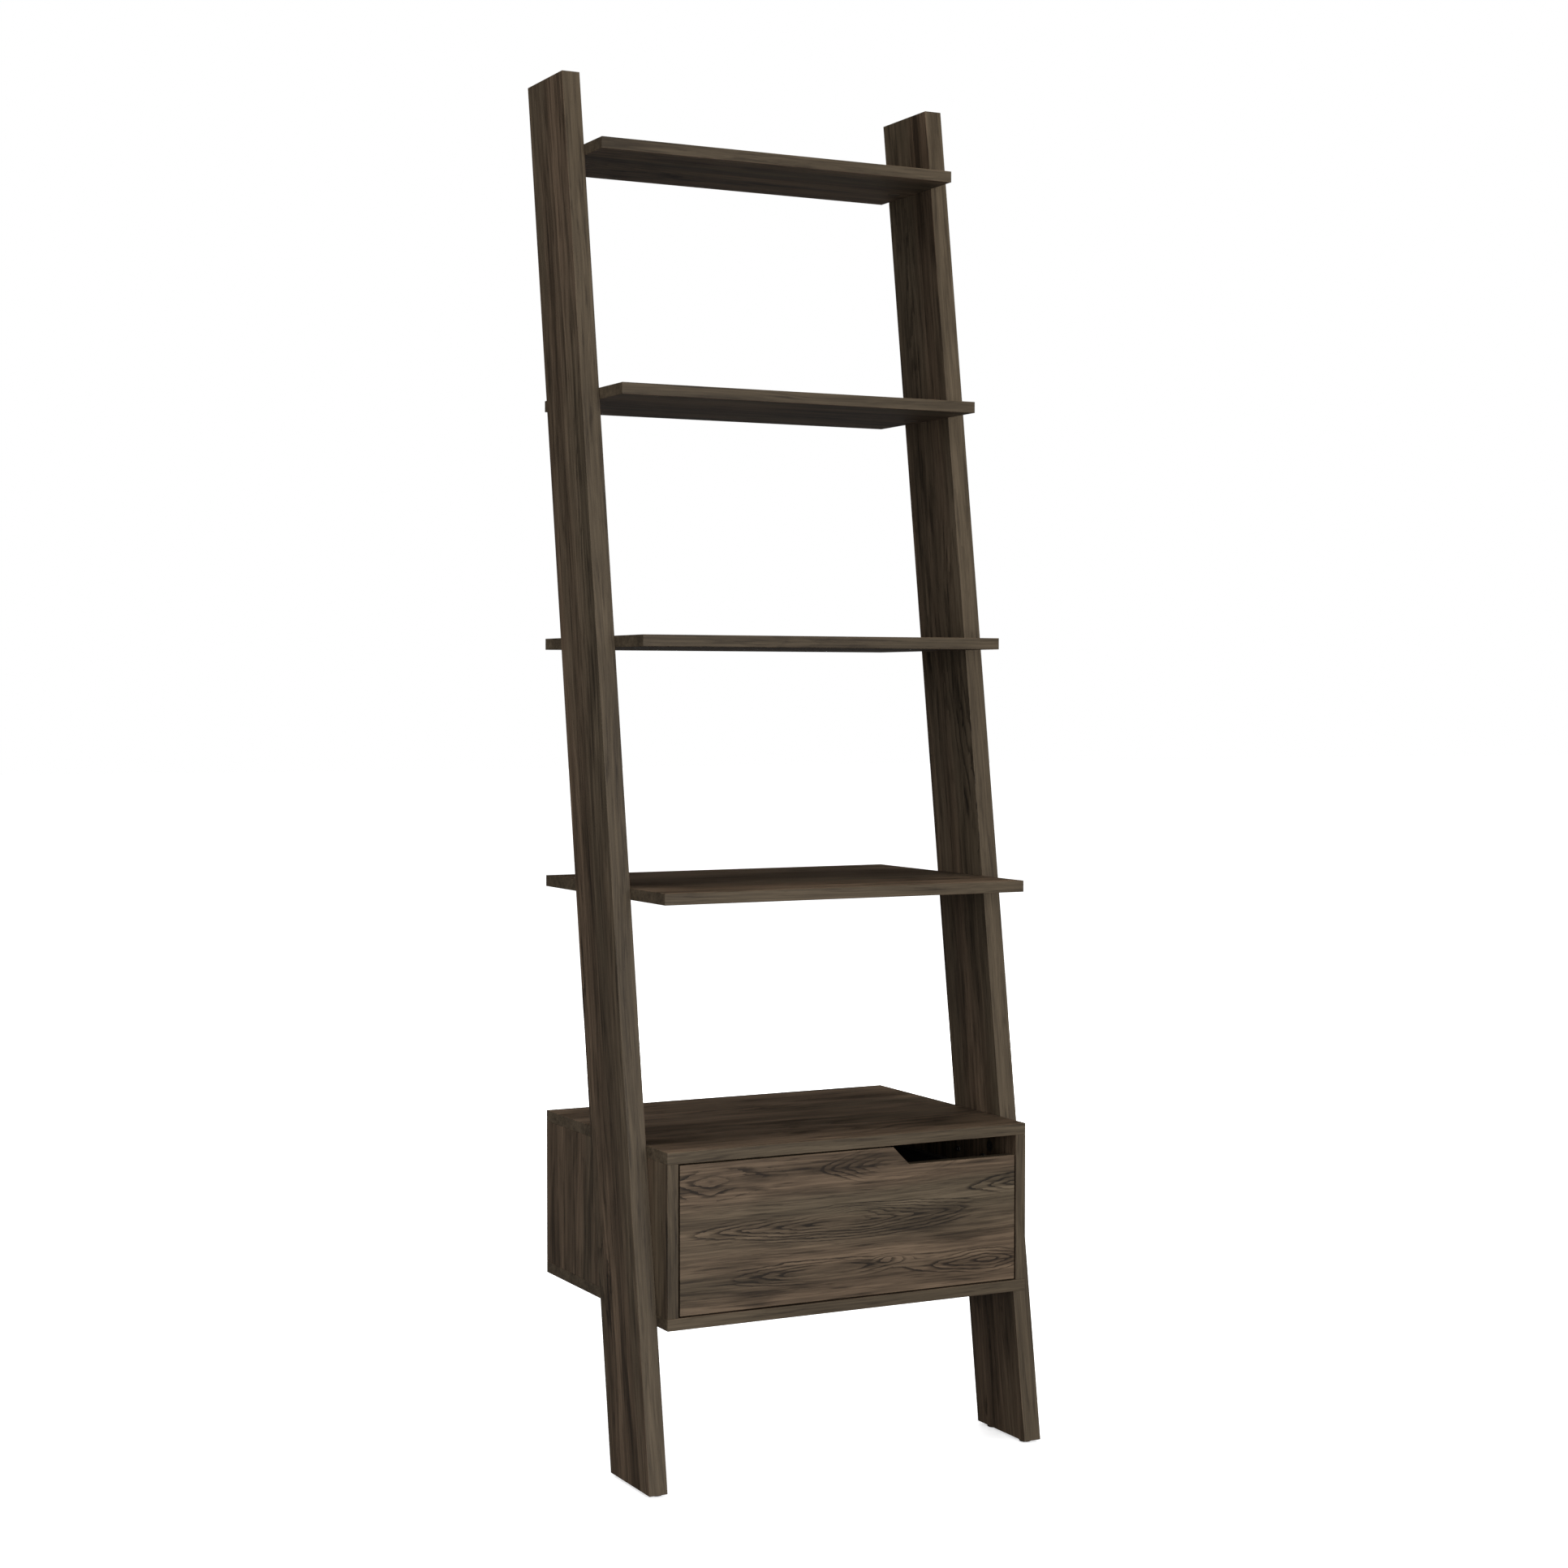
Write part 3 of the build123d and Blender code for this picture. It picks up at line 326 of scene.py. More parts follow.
# %% The print on one board
def walnut(name, turn, shift, face, hills=(), figure=1.0, tone_and_painted_light=0.0, warmth=0.0):
    """The laminate on one board. turn brings the grain to the first coordinate and the thickness
    to the third, shift picks the part of the sheet, face is the board's (middle, half thickness),
    hills are arches at known places, figure is how strong the rings are, the tone lightens or
    darkens the whole board, mostly as painted light and painted shade, and warmth narrows its grey
    zones."""
    material, tree, shader = start_finish(name)
    own = add_node(tree, "TexCoord").outputs["Object"]
    straight = add_node(tree, "Mapping", {"Vector": own, "Rotation": turn}).outputs[0]
    moved = add_node(tree, "Mapping", {"Vector": straight, "Location": shift}).outputs[0]

    # The grain wanders: a slow noise pushes each place a few millimetres sideways.
    drift = reckon(tree, "SUBTRACT", layer(tree, moved, "drift"), 0.5)
    drift = reckon(tree, "MULTIPLY", drift, DRIFT_METRES)
    push = add_node(tree, "CombineXYZ", {1: drift, 2: drift}).outputs[0]
    place = add_node(tree, "VectorMath", {0: moved, 1: push}, operation="ADD").outputs[0]

    # Rings are the level lines of a smooth noise. Known arches lead it where they are given.
    field = layer(tree, place, "rings")
    if hills:
        total = 0.0
        for each in hills:
            total = reckon(tree, "ADD", hill(tree, place, *each), total)
        count = reckon(tree, "MULTIPLY_ADD", field, RINGS_BESIDE_ARCHES, total)
        near = rescale(tree, total, 0.0, 0.5)
    else:
        count = reckon(tree, "MULTIPLY", field, RINGS_IN_NOISE)
        near = mark(tree, moved, "figured")
    count = reckon(tree, "MULTIPLY_ADD", layer(tree, place, "wobble"), RING_WOBBLE, count)
    strength = reckon(tree, "MULTIPLY", mark(tree, moved, "patches"), near)
    lines = reckon(tree, "MULTIPLY", ring_lines(tree, count, RING_WIDTH), strength)

    # The edge's strip is wherever the surface lies between the two faces.
    through = add_node(tree, "SeparateXYZ", {0: straight}).outputs[2]
    depth = reckon(tree, "ABSOLUTE", reckon(tree, "SUBTRACT", through, face[0]))
    band = rescale(tree, depth, face[1] - EDGE_START[0], face[1] - EDGE_START[1], 1.0, 0.0)
    plain = fading(tree, band, "streaks")
    lines = reckon(tree, "MULTIPLY", lines, fading(tree, band, "rings"))

    # One number from dark to light gathers every layer.
    noises = {each: layer(tree, place, each) for each in ("zones", "streaks", "threads")}
    light = 0.0
    for each, noise in noises.items():
        swing = reckon(tree, "SUBTRACT", noise, 0.5)
        light = reckon(tree, "MULTIPLY_ADD", swing, WEIGHT[each], light)
    light = reckon(tree, "MULTIPLY", light, plain)
    flames = mark(tree, place, "flames")
    darks = {
        "dashes": reckon(tree, "MULTIPLY", mark(tree, place, "dashes"), plain),
        "flames": reckon(tree, "MULTIPLY", flames, fading(tree, band, "flames")),
        "edge": band,
        "rings": reckon(tree, "MULTIPLY", lines, figure),
        "pores": mark(tree, place, "pores"),
    }
    for each, dark in darks.items():
        light = reckon(tree, "MULTIPLY_ADD", dark, WEIGHT[each], light)
    # Where the board's tone is not zero it moves the whole print lighter or darker: painted shade
    # on the upper shelves seen from below, painted light on shelf_4, the cabinet top and the right
    # rail.
    light = reckon(tree, "ADD", light, MIDDLE_LIGHT + tone_and_painted_light)

    warm = ramp(tree, light, WARM)
    grey = ramp(tree, light, GREY)
    least, most = (each + warmth for each in GREY_SHARE)
    share = rescale(tree, layer(tree, place, "broad"), least, most)
    share = reckon(tree, "MAXIMUM", share, band)
    blend = add_node(tree, "Mix", {0: share, 6: warm, 7: grey}, data_type="RGBA")
    tree.links.new(blend.outputs[2], shader.inputs["Base Color"])

    matt = reckon(tree, "MULTIPLY_ADD", noises["streaks"], ROUGHNESS_SWING, ROUGHNESS)
    tree.links.new(matt, shader.inputs["Roughness"])
    shader.inputs["Specular IOR Level"].default_value = 0.2
    height = reckon(tree, "MULTIPLY_ADD", darks["pores"], -PORE_DEPTH, noises["threads"])
    bump = add_node(tree, "Bump", {"Height": height, "Strength": 0.18, "Distance": 0.0004})
    tree.links.new(bump.outputs[0], shader.inputs["Normal"])
    return material


# %% [markdown]
# Each board is cut from another part of the sheet, and its grain follows its long side: along the
# leaning rails, across the shelves, up the cabinet's sides and across the drawer's front. Turning
# the pattern with a Mapping node does that without touching a mesh.

# %% Which way the grain runs on each board
low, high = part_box("left_rail")
rail_points = np.empty(len(nodes["left_rail"].data.vertices) * 3, np.float32)
nodes["left_rail"].data.vertices.foreach_get("co", rail_points)
rail_points = rail_points.reshape(-1, 3)
foot = rail_points[rail_points[:, 2] < low[2] + 0.002]
head = rail_points[rail_points[:, 2] > high[2] - 0.002]
lean = atan((head[:, 1].min() - foot[:, 1].min()) / (high[2] - low[2]))
print("lean", round(lean * 180 / pi, 2), "degrees")

ACROSS = (0.0, 0.0, 0.0)
UPRIGHT = (0.0, pi / 2, 0.0)
LEANING = (lean, pi / 2, 0.0)
FACING = (-pi / 2, 0.0, 0.0)

FRONT_HILLS = (
    ((0.050, 0.390), (0.110, 0.120, 0.024), 6.0),
    ((0.004, 0.334), (0.050, 0.060, 0.012), 2.2),
    ((0.010, 0.322), (0.290, 0.240, 0.026), 7.0),
    ((-0.060, 0.264), (0.170, 0.190, 0.018), 5.0),
    ((0.052, 0.270), (0.024, 0.050, 0.009), 2.0),
    ((0.202, 0.256), (0.150, 0.090, 0.018), 4.4),
    ((-0.200, 0.388), (0.090, 0.110, 0.026), 3.0),
    ((0.240, 0.350), (0.080, 0.080, 0.018), 3.0),
)

# Each board: which way its grain runs, the part of the sheet, then figure, tone and warmth.
# The tone is painted shade on shelf_1 and shelf_2, whose undersides are seen, and painted light
# on the tops of shelf_4 and the cabinet and for the right rail's shaded inner face; the drawer
# front is only made a little lighter.
boards = {
    "left_rail": (LEANING, (0.0, 0.31, 0.0), 1.0, 0.0, 0.0),
    "right_rail": (LEANING, (5.3, 1.7, 0.4), 1.0, 0.02, 0.0),
    "shelf_1": (ACROSS, (11.2, 0.5, 0.7), 1.0, -0.02, 0.0),
    "shelf_2": (ACROSS, (17.9, 2.3, 1.1), 1.0, -0.02, 0.0),
    "shelf_3": (ACROSS, (23.4, 4.1, 0.2), 1.0, 0.0, 0.12),
    "shelf_4": (ACROSS, (31.7, 1.9, 2.6), 1.0, 0.03, 0.12),
    "cabinet_top": (ACROSS, (41.3, 3.6, 0.9), 1.0, 0.03, 0.12),
    "cabinet_bottom": (ACROSS, (47.1, 5.2, 1.5), 1.0, 0.0, 0.0),
    "cabinet_left_side": (UPRIGHT, (53.8, 2.7, 0.6), 1.0, 0.0, 0.0),
    "cabinet_right_side": (UPRIGHT, (61.5, 0.8, 1.9), 1.0, 0.0, 0.0),
    "drawer_front": (FACING, (0.0, 0.0, 0.0), 1.35, 0.03, 0.0),
}
for board, (turn, shift, figure, tone_and_painted_light, warmth) in boards.items():
    hills = FRONT_HILLS if board == "drawer_front" else ()
    lowest, highest = np.array(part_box(board))
    middle_depth = (Euler(turn).to_matrix() @ Vector((lowest + highest) / 2)).z
    face = (middle_depth, (highest - lowest).min() / 2)
    print_on_board = walnut(f"walnut_{board}", turn, shift, face, hills, figure, tone_and_painted_light, warmth)
    nodes[board].data.materials.clear()
    nodes[board].data.materials.append(print_on_board)
print("boards", len(boards))

# %% [markdown]
# ## Coatings
#
# The rest of the shelf is zinc-plated steel, coated sheet steel, nylon, moulded plastic, hardboard,
# dark melamine and beech. None of them is one flat colour: plating has faint spangle, a coating
# shrinks like orange peel, hardboard is felted fibre. One recipe covers them all, a colour between
# two shades, a roughness between two values and a fine relief, each led by its own noise.


# %% The recipe for a coating
def coating(name, shades, roughness, scale, relief, metal=0.0, turn=ACROSS, stretch=(1, 1, 1)):
    """A finish whose colour and roughness drift between two values, with a fine relief. scale is
    (slow, fine) noise cells a metre; stretch draws both out along an axis."""
    material, tree, shader = start_finish(name)
    own = add_node(tree, "TexCoord").outputs["Object"]
    place = add_node(tree, "Mapping", {"Vector": own, "Rotation": turn}).outputs[0]
    place = add_node(tree, "VectorMath", {0: place, 1: stretch}, operation="MULTIPLY").outputs[0]
    slow = add_node(tree, "VectorMath", {0: place, "Scale": scale[0]}, operation="SCALE").outputs[0]
    fine = add_node(tree, "VectorMath", {0: place, "Scale": scale[1]}, operation="SCALE").outputs[0]
    slow = cloud(tree, slow, 3.0, 0.6)
    fine = cloud(tree, fine, 2.0, 0.5)
    mixed = reckon(tree, "MULTIPLY_ADD", slow, 0.6, reckon(tree, "MULTIPLY", fine, 0.4))
    share = rescale(tree, mixed, 0.32, 0.68)
    colour = ramp(tree, share, ((0.0, shades[0]), (1.0, shades[1])))
    tree.links.new(colour, shader.inputs["Base Color"])
    rough = rescale(tree, slow, 0.35, 0.65, *roughness)
    tree.links.new(rough, shader.inputs["Roughness"])
    bump = add_node(tree, "Bump", {"Height": fine, "Strength": relief, "Distance": 0.0003})
    tree.links.new(bump.outputs[0], shader.inputs["Normal"])
    shader.inputs["Metallic"].default_value = metal
    shader.inputs["Specular IOR Level"].default_value = 0.3
    return material


# %% The coatings
finishes = {
    "zinc": coating("zinc_plate", ((0.46, 0.46, 0.45), (0.62, 0.62, 0.60)), (0.30, 0.46),
                    (260.0, 1900.0), 0.10, 0.55),
    "black_zinc": coating("black_zinc_plate", ((0.016, 0.015, 0.014), (0.034, 0.032, 0.030)),
                          (0.38, 0.55), (260.0, 1900.0), 0.10, 0.6),
    "runner_steel": coating("runner_epoxy", ((0.020, 0.0165, 0.0135), (0.030, 0.0250, 0.0205)),
                            (0.34, 0.48), (35.0, 1100.0), 0.22),
    "bracket_steel": coating("bracket_powder_coat",
                             ((0.024, 0.0195, 0.0150), (0.034, 0.028, 0.022)),
                             (0.50, 0.64), (60.0, 1700.0), 0.35),
    "nylon": coating("roller_nylon", ((0.62, 0.60, 0.54), (0.74, 0.72, 0.66)), (0.38, 0.52),
                     (160.0, 1500.0), 0.12),
    "brown_plastic": coating("moulded_brown", ((0.046, 0.0335, 0.0225), (0.060, 0.0440, 0.0300)),
                             (0.52, 0.66), (120.0, 2400.0), 0.25),
    "drawer_board": coating("dark_melamine", ((0.0150, 0.0128, 0.0110), (0.0270, 0.0228, 0.0190)),
                            (0.52, 0.66), (18.0, 260.0), 0.10, 0.0, ACROSS, (1, 0.08, 1)),
    "hardboard": coating("printed_hardboard", ((0.034, 0.0255, 0.0175), (0.052, 0.0385, 0.0262)),
                         (0.62, 0.80), (330.0, 1700.0), 0.30),
    "beech": coating("raw_beech", ((0.40, 0.25, 0.135), (0.56, 0.37, 0.215)), (0.62, 0.78),
                     (150.0, 1300.0), 0.20, 0.0, ACROSS, (1, 1, 1)),
}
slot_of = {row["node"]: row["material_slot"] for row in frame["record"]["subparts"]}
for node_name, node_object in nodes.items():
    if node_name not in boards:
        node_object.data.materials.clear()
        node_object.data.materials.append(finishes[slot_of[node_name]])
print("coatings", len(finishes))

# %% [markdown]
# ## Where each fastener sits
#
# Screws, dowels and bolts come in groups, one node a group, so their places are in the node's own
# points. Points that share a place are one corner, and corners joined by an edge belong to the same
# solid. So passing the lowest number along every edge, until nothing changes, labels each solid.


# %% The separate solids of a node
def solid_boxes(node_name):
    """Middle and size of each separate solid in a node, as two arrays of rows."""
    mesh = nodes[node_name].data
    points = np.empty(len(mesh.vertices) * 3, np.float32)
    mesh.vertices.foreach_get("co", points)
    corners, corner_of = np.unique(points.reshape(-1, 3).round(6), axis=0, return_inverse=True)
    ends = np.empty(len(mesh.edges) * 2, np.int32)
    mesh.edges.foreach_get("vertices", ends)
    first, second = corner_of.ravel()[ends.reshape(-1, 2)].T
    label = np.arange(len(corners))
    while True:
        lower = label.copy()
        np.minimum.at(lower, first, label[second])
        np.minimum.at(lower, second, label[first])
        lower = lower[lower]
        if np.array_equal(lower, label):
            break
        label = lower
    kept, solid = np.unique(label, return_inverse=True)
    lowest = np.full((len(kept), 3), np.inf)
    highest = -lowest
    np.minimum.at(lowest, solid.ravel(), corners)
    np.maximum.at(highest, solid.ravel(), corners)
    return (lowest + highest) / 2, highest - lowest


# %% [markdown]
# ## Turned pieces
#
# A lathe makes screws, bolts, dowels, rollers and glides, and a lathe is the way to draw them too:
# a profile carried round an axis. The Screw modifier turns a plain profile, but here a ring's
# radius may also change on its way round, which cuts flutes and threads, and so may its place along
# the axis, which sinks a cross drive into a head. So each piece is two tables, one row a ring and
# one column an angle: how far along the axis a point is, and how far out.


# %% Tables of rings
MM = 0.001
X, Y, Z = np.eye(3)
STEPS_A_PITCH = 6
CREST_SHARPNESS = 1.7  # 1 gives a plain V, more gives narrow crests and flat valleys
SHARP_DEGREES = 35  # corners sharper than this keep a hard edge


def angles(columns):
    """One row of evenly spaced angles round the axis."""
    return np.linspace(0, 2 * pi, columns, endpoint=False)[None, :]


def plain_rings(profile, columns):
    """Round rings from (along, radius) pairs in millimetres: the same value at every angle."""
    along, radius = np.array(profile, float).T * MM
    wide = np.ones((1, columns))
    return along[:, None] * wide, radius[:, None] * wide


def corner(middle, size, start, end, steps=5):
    """Profile points of a rounded corner: middle + size * (cos(t), sin(t)), t from start to end."""
    t = np.radians(np.linspace(start, end, steps))
    return np.column_stack([middle[0] + size * np.cos(t), middle[1] + size * np.sin(t)]).tolist()


def thread_rings(start, end, core, crest, pitch, columns, tip=0.0):
    """Rings of a thread, in millimetres. The radius is a sharp wave of the place along a helix:
    share = along / pitch - angle / turn, radius = core + (crest - core) * wave(share). With a tip,
    the radius falls to nothing over that length."""
    angle = angles(columns)
    along = np.arange(start, end, pitch / STEPS_A_PITCH)[:, None] + 0 * angle
    share = (along / pitch - angle / (2 * pi)) % 1.0
    wave = np.clip(1 - CREST_SHARPNESS * np.abs(2 * share - 1), 0, 1)
    radius = core + (crest - core) * wave
    if tip:
        radius = radius * np.clip((end - along) / tip, 0.04, 1)
    return along * MM, radius * MM


def stacked(*sections):
    """Ring tables one after another."""
    return np.vstack([part[0] for part in sections]), np.vstack([part[1] for part in sections])


# %% From tables to a skin
def ring_points(along, radius):
    """A point is (along, radius * cos(angle), radius * sin(angle))."""
    angle = angles(along.shape[1])
    return np.stack([along, radius * np.cos(angle), radius * np.sin(angle)], axis=-1)


def ring_faces(rings, columns, looped):
    """Quads between neighbouring rings, and from the last back to the first if looped."""
    ring = np.arange(rings if looped else rings - 1)[:, None]
    column = np.arange(columns)[None, :]
    after = (ring + 1) % rings
    beside = (column + 1) % columns
    quads = [ring * columns + column, ring * columns + beside, after * columns + beside,
             after * columns + column]
    return np.stack(quads, axis=-1).reshape(-1, 4)


def turned(along, radius):
    """A closed solid of revolution: the rings, and a fan to one point at each end."""
    points = ring_points(along, radius)
    rings, columns = along.shape
    ends = [[along[0].mean(), 0, 0], [along[-1].mean(), 0, 0]]
    column = np.arange(columns)
    beside = (column + 1) % columns
    count = rings * columns
    last = count - columns
    first_fan = np.stack([np.full(columns, count), beside, column], axis=-1)
    last_fan = np.stack([np.full(columns, count + 1), last + column, last + beside], axis=-1)
    faces = [ring_faces(rings, columns, False), first_fan, last_fan]
    return np.vstack([points.reshape(-1, 3), ends]), faces


def hollow_turned(along, radius):
    """A ring-shaped solid: its profile closes on itself, out along the rim and back by the bore."""
    return ring_points(along, radius).reshape(-1, 3), [ring_faces(*along.shape, True)]


# %% Copies at every seat, as one piece
def piece_at(name, shape, seats, directions, body, replaced):
    """One mesh with a copy of a shape at each seat, its first axis turned to the direction. A
    copy's point is seat + a * direction + b * beside + c * (direction x beside)."""
    points, face_sets = shape
    seats, directions = np.asarray(seats, float), np.asarray(directions, float)
    beside = np.roll(np.abs(directions), 1, axis=1)
    turns = np.stack([directions, beside, np.cross(directions, beside)], axis=-1)
    placed = np.einsum("kij,pj->kpi", turns, points) + seats[:, None, :]
    steps = np.arange(len(seats))[:, None, None] * len(points)
    faces = []
    for face_set in face_sets:
        faces += (face_set[None] + steps).reshape(-1, face_set.shape[1]).tolist()
    mesh = bpy.data.meshes.new(name)
    mesh.from_pydata(placed.reshape(-1, 3).tolist(), [], faces)
    mesh.polygons.foreach_set("use_smooth", [True] * len(mesh.polygons))
    mesh.set_sharp_from_angle(angle=radians(SHARP_DEGREES))
    mesh.materials.append(finishes[slot_of[replaced]])
    piece = bpy.data.objects.new(name, mesh)
    bpy.context.scene.collection.objects.link(piece)
    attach(piece, body)
    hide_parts(replaced)
    lowest, highest = np.array(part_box(replaced))
    over = max((lowest - placed.min(axis=(0, 1))).max(), (placed.max(axis=(0, 1)) - highest).max())
    over_mm = round(over / MM, 3)
    print(name, len(seats), "copies", len(faces), "faces, past its solids by mm", over_mm)
    return piece


def away_from_middle(middles):
    """Left or right, outwards, for each row."""
    return np.sign(middles[:, :1]) * X


def seats_by_tip(group, towards, length):
    """Seats and directions of a group, each seat that length in millimetres back from its tip."""
    middles, sizes = solid_boxes(group)
    directions = towards(middles)
    tips = middles + directions * sizes.max(axis=1, keepdims=True) / 2
    return tips - directions * length * MM, directions


# %% [markdown]
# ## Screws
#
# A furniture screw has a head with a cross drive, a thread that climbs round its shank and a point.
# The thread is one formula, so its crests run round the shank in one line with no seam. The cross
# is another: the top sinks where a point is near either of two crossed bars.


# %% One screw
def sunk_cross(radius, angle, reach, half_bar, depth):
    """Depth of a cross drive: full inside two crossed bars and easing off at their walls."""
    across = np.minimum(np.abs(radius * np.cos(angle)), np.abs(radius * np.sin(angle)))
    walls = np.clip((1.3 * half_bar - across) / (0.3 * half_bar), 0, 1)
    ends = np.clip((reach - radius) / (0.15 * reach), 0, 1)
    return depth * walls * ends


def screw(radius, length, pan, columns=24):
    """Head, neck, thread and point in millimetres, from a seat at the origin towards +X. A pan head
    stands on its seat: height * sqrt(1 - share^2) with a rounded rim. A flat one lies in it."""
    angle = angles(columns)
    head = 2 * radius
    share = np.linspace(0.06, 1, 16)[:, None]
    swell = 0.8 * radius * np.sqrt(1 - share**4) if pan else 0 * share
    sunk = sunk_cross(share * head, angle, 0.62 * head, 0.16 * head, 0.55 * radius)
    top = (sunk - swell) * MM, share * head * MM + 0 * angle
    throat = 0.0 if pan else head - radius
    neck = plain_rings([(throat, radius), (throat + 0.5 * radius, 0.8 * radius)], columns)
    thread = thread_rings(throat + 0.7 * radius, length, 0.68 * radius, radius, 0.85 * radius,
                          columns, 2 * radius)
    return turned(*stacked(top, neck, thread))


# %% Every group of screws
# Thread radius and length in millimetres, whether the head is a pan head, the body it rides on,
# and its direction from the places of its solids.
screw_groups = {
    "cabinet_rail_screws": (2.0, 30.0, True, "frame", away_from_middle),
    "cabinet_runner_screws": (1.75, 11.0, True, "frame", away_from_middle),
    "wall_bracket_screws": (1.75, 11.0, True, "frame", lambda rows: 0 * rows - Z),
    "cabinet_bottom_screws": (2.5, 50.0, False, "frame", lambda rows: 0 * rows + Z),
    "drawer_back_screws": (1.75, 35.0, False, "drawer", lambda rows: -away_from_middle(rows)),
    "drawer_runner_screws": (1.5, 11.0, True, "drawer", lambda rows: 0 * rows + Z),
    "drawer_bottom_screws": (1.5, 11.0, True, "drawer", lambda rows: 0 * rows + Z),
}
for group, (radius, length, pan, body, towards) in screw_groups.items():
    seats, directions = seats_by_tip(group, towards, length)
    piece_at(f"{group}_threaded", screw(radius, length, pan), seats, directions, body, group)

# %% [markdown]
# ## Cam bolts and dowels
#
# A cam bolt screws into one board by its coarse thread, stops at a collar, and offers a round head
# to the cam in the other board. A dowel is a beech peg with grooves that let the glue and the air
# out: its radius dips in a narrow dent, again and again round the turn.


# %% Cam bolts
BOLT_THREAD = 11.0


def cam_bolt(columns=24):
    """Head, neck, shank and collar, plain rings in millimetres, then the thread towards +X."""
    head = [(-24.0, 2.4), (-23.6, 3.0), (-21.4, 3.0), (-21.0, 2.6), (-20.9, 2.0), (-17.6, 2.0)]
    shank = [(-17.5, 2.6), (-3.1, 2.6), (-3.0, 3.1), (-2.7, 3.4), (-0.1, 3.4), (-0.05, 2.0)]
    rings = plain_rings(head + shank, columns)
    return turned(*stacked(rings, thread_rings(0.0, BOLT_THREAD, 1.7, 2.5, 1.8, columns, 1.2)))


bolt_groups = {
    "shelf_cam_bolts": ("frame", away_from_middle),
    "cabinet_cam_bolts": ("frame", lambda rows: 0 * rows + Z),
    "drawer_cam_bolts": ("drawer", lambda rows: 0 * rows - Y),
}
for group, (body, towards) in bolt_groups.items():
    seats, directions = seats_by_tip(group, towards, BOLT_THREAD)
    piece_at(f"{group}_threaded", cam_bolt(), seats, directions, body, group)


# %% Dowels
def dowel(radius, length, grooves=12, columns=48):
    """Peg in millimetres from -length / 2 to length / 2. Its ends are eased by a fifth of the
    radius, and grooves dips of 5% go round it: radius * (1 - 0.05 * dip(angle * grooves))."""
    ease = radius / 5
    half = length / 2
    along, rings = plain_rings([(-half, radius - ease), (-half + ease, radius),
                                (-half + 2 * ease, radius), (half - 2 * ease, radius),
                                (half - ease, radius), (half, radius - ease)], columns)
    dip = np.clip(1.6 * np.cos(angles(columns) * grooves) - 0.6, 0, 1)
    depth = np.array([0.0, 0.0, 0.05, 0.05, 0.0, 0.0])[:, None]
    return turned(along, rings * (1 - depth * dip))


dowel_groups = {"shelf_dowels": ("frame", 4.0), "cabinet_dowels": ("frame", 4.0),
                "drawer_dowels": ("drawer", 3.0)}
for group, (body, radius) in dowel_groups.items():
    middles, sizes = solid_boxes(group)
    directions = (sizes == sizes.max(axis=1, keepdims=True)).astype(float)
    length = sizes.max() / MM
    piece_at(f"{group}_fluted", dowel(radius, length), middles, directions, body, group)

# %% [markdown]
# ## Caps, glides and nails
#
# A moulded cap hides each cam under a shelf: a crowned disc on a cross peg. The peg is a plus sign,
# and a plus sign has a radius at every angle, so it can be turned as well. Under each rail are two
# nailed glides, worn round at the rim, with the nail's head sunk where it can't scratch.


# %% Caps
PEG_LENGTH = 1.7
PEG_REACH = 2.95
PEG_HALF = 0.65


def cam_cap(columns=64):
    """Crown, rim and flat underside in millimetres, then the peg. The peg's radius at an angle is
    the larger of two bars' reach: min(long / |cos|, half / |sin|) and the same turned."""
    crown = [(-0.9 + 0.25 * (r / 7.6) ** 2, r) for r in (0.5, 2.0, 4.0, 6.0, 7.6)]
    rim = corner((-0.35, 8.3), 0.5, 215, 90) + [(-0.1, 8.7), (0.0, 8.5), (0.0, 3.2)]
    angle = angles(columns)
    cosine, sine = np.abs(np.cos(angle)) + 1e-6, np.abs(np.sin(angle)) + 1e-6
    lying = np.minimum(PEG_REACH / cosine, PEG_HALF / sine)
    standing = np.minimum(PEG_REACH / sine, PEG_HALF / cosine)
    plus = np.maximum(lying, standing)
    along = np.array([0.01, 1.5, PEG_LENGTH])[:, None] * MM + 0 * angle
    peg = along, np.array([1.0, 1.0, 0.85])[:, None] * plus * MM
    return turned(*stacked(plain_rings(crown + rim, columns), peg))


middles, sizes = solid_boxes("shelf_cam_caps")
seats = middles + Z * (sizes[:, 2:] / 2 - PEG_LENGTH * MM)
piece_at("shelf_cam_caps_crowned", cam_cap(), seats, 0 * middles + Z, "frame", "shelf_cam_caps")


# %% Glides and their nails
NAIL_LENGTH = 16.0


def glide(columns=48):
    """Foot, worn rim, flat top and the nail's stepped hole, a closed profile in millimetres."""
    foot = [(-2.75, 3.25), (-2.95, 3.5), (-3.0, 4.2), (-3.0, 6.0)]
    rim = corner((-1.7, 6.7), 1.3, 180, 90, 8)
    top = [(0.0, 8.0), (0.0, 1.2), (-1.5, 1.2), (-1.5, 3.05), (-2.6, 3.05)]
    return hollow_turned(*plain_rings(foot + rim + top, columns))


def nail(columns=24):
    """Head with an eased rim, straight shank and point, in millimetres."""
    head = [(-0.8, 2.6), (-0.7, 2.9), (-0.5, 3.0), (-0.1, 3.0), (0.0, 2.8)]
    shank = [(0.05, 1.1), (NAIL_LENGTH - 2.2, 1.1), (NAIL_LENGTH - 0.1, 0.1)]
    return turned(*plain_rings(head + shank, columns))


middles, sizes = solid_boxes("foot_glides")
seats = middles + Z * sizes[:, 2:] / 2
piece_at("foot_glides_worn", glide(), seats, 0 * middles + Z, "frame", "foot_glides")
middles, sizes = solid_boxes("foot_glide_nails")
seats = middles + Z * (sizes[:, 2:] / 2 - NAIL_LENGTH * MM)
piece_at("foot_glide_nails_round", nail(), seats, 0 * middles + Z, "frame", "foot_glide_nails")

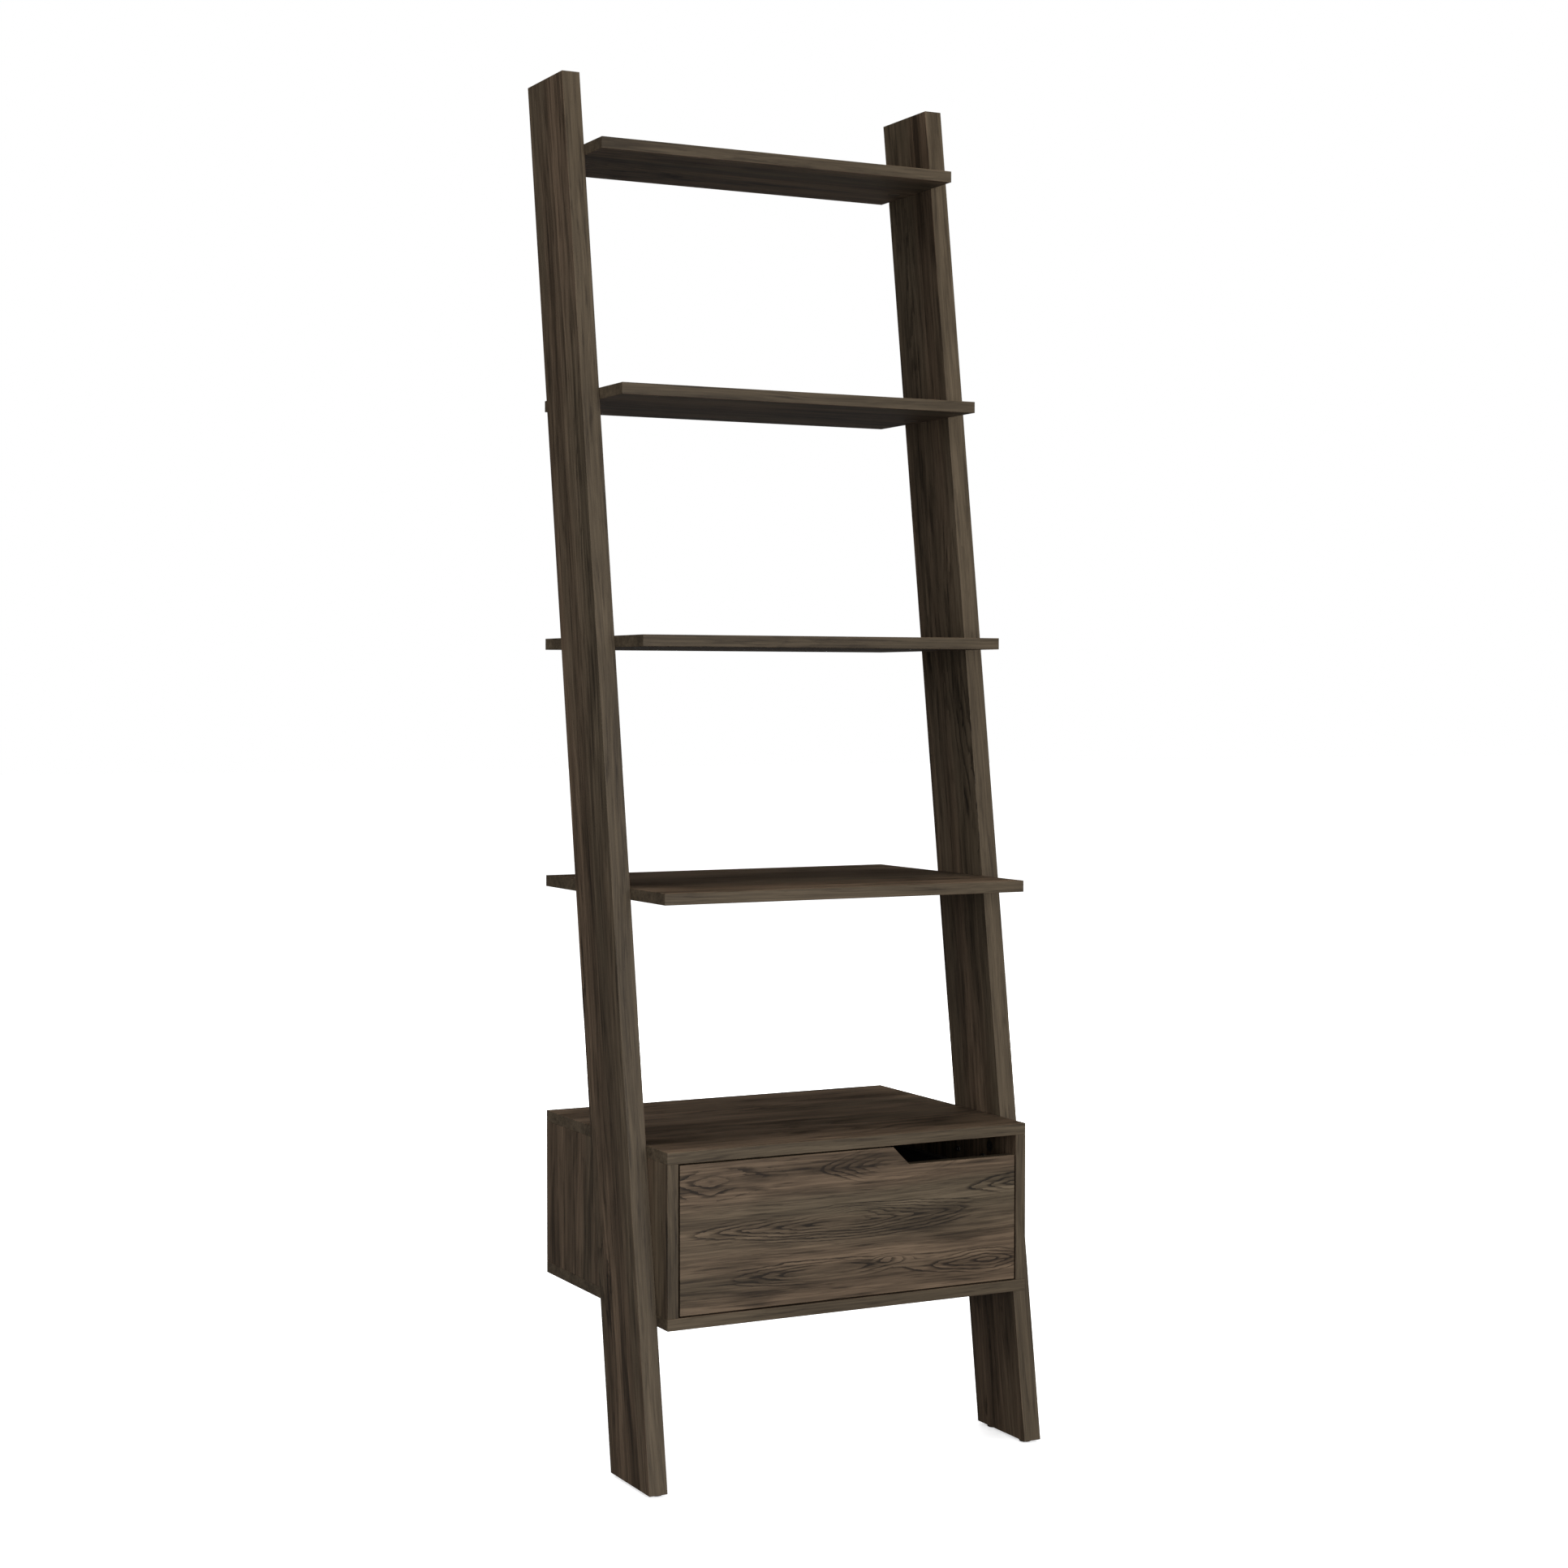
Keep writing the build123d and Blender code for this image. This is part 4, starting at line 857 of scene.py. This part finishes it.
# %% [markdown]
# ## Rollers and rivets
#
# The drawer runs on four nylon rollers. Each is moulded with a raised hub, a hollowed web and a
# slightly crowned tread, and turns on a steel rivet whose head is domed by the press. A roller
# moves on its own, so each one is a piece of its own and rides on its own body.


# %% Rollers
def roller(columns=64):
    """Hub, hollow web, rounded rim and crowned tread in millimetres, mirrored to close the bore:
    a profile from the bore out along one side, over the tread and back by the other."""
    side = [(-2.5, 2.75), (-2.5, 4.1), (-2.3, 4.3), (-1.5, 4.5), (-1.3, 4.8), (-1.3, 6.6),
            (-1.5, 6.9), (-2.3, 7.1), (-2.5, 7.3)]
    side += corner((-1.9, 8.3), 0.6, 180, 90) + [(-0.9, 8.98), (0.0, 9.0)]
    other = [(-along, radius) for along, radius in side[-2::-1]]
    bore = [(2.3, 2.55), (-2.3, 2.55)]
    return hollow_turned(*plain_rings(side + other + bore, columns))


for hand in ("left", "right"):
    for member in ("cabinet", "drawer"):
        name = f"{hand}_{member}_roller"
        middle = np.mean(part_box(name), axis=0)
        piece_at(f"{name}_crowned", roller(), [middle], [X], name, name)


# %% Rivets
NECK_LENGTH = 5.4
HEAD_HEIGHT = 1.0


def rivet(length, columns=48):
    """Tail in the web, shoulder, neck through the roller and domed head, in millimetres from the
    web's outer face."""
    under = length - HEAD_HEIGHT
    shoulder = under - NECK_LENGTH
    sleeve = [(1.2, 2.5), (1.2, 3.7), (1.4, 4.0), (shoulder - 0.1, 4.0), (shoulder, 3.8)]
    neck = [(shoulder, 2.5), (under, 2.5), (under, 4.3), (under + 0.2, 4.5)]
    dome = [(length - 0.85 * (r / 4.45) ** 2, r) for r in (4.3, 3.6, 2.6, 1.4, 0.4)]
    return turned(*plain_rings([(0.0, 2.3), (0.2, 2.5)] + sleeve + neck + dome, columns))


rivet_groups = {"cabinet_roller_rivets": ("frame", -1), "drawer_roller_rivets": ("drawer", 1)}
for group, (body, outward) in rivet_groups.items():
    middles, sizes = solid_boxes(group)
    directions = outward * away_from_middle(middles)
    seats = middles - directions * sizes[:, :1] / 2
    shape = rivet(sizes[0, 0] / MM)
    piece_at(f"{group}_domed", shape, seats, directions, body, group)

# %% The room the model takes
shown_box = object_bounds()
sizes = {"cad": [list(corner) for corner in cad_box],
         "visual": [list(corner) for corner in shown_box]}
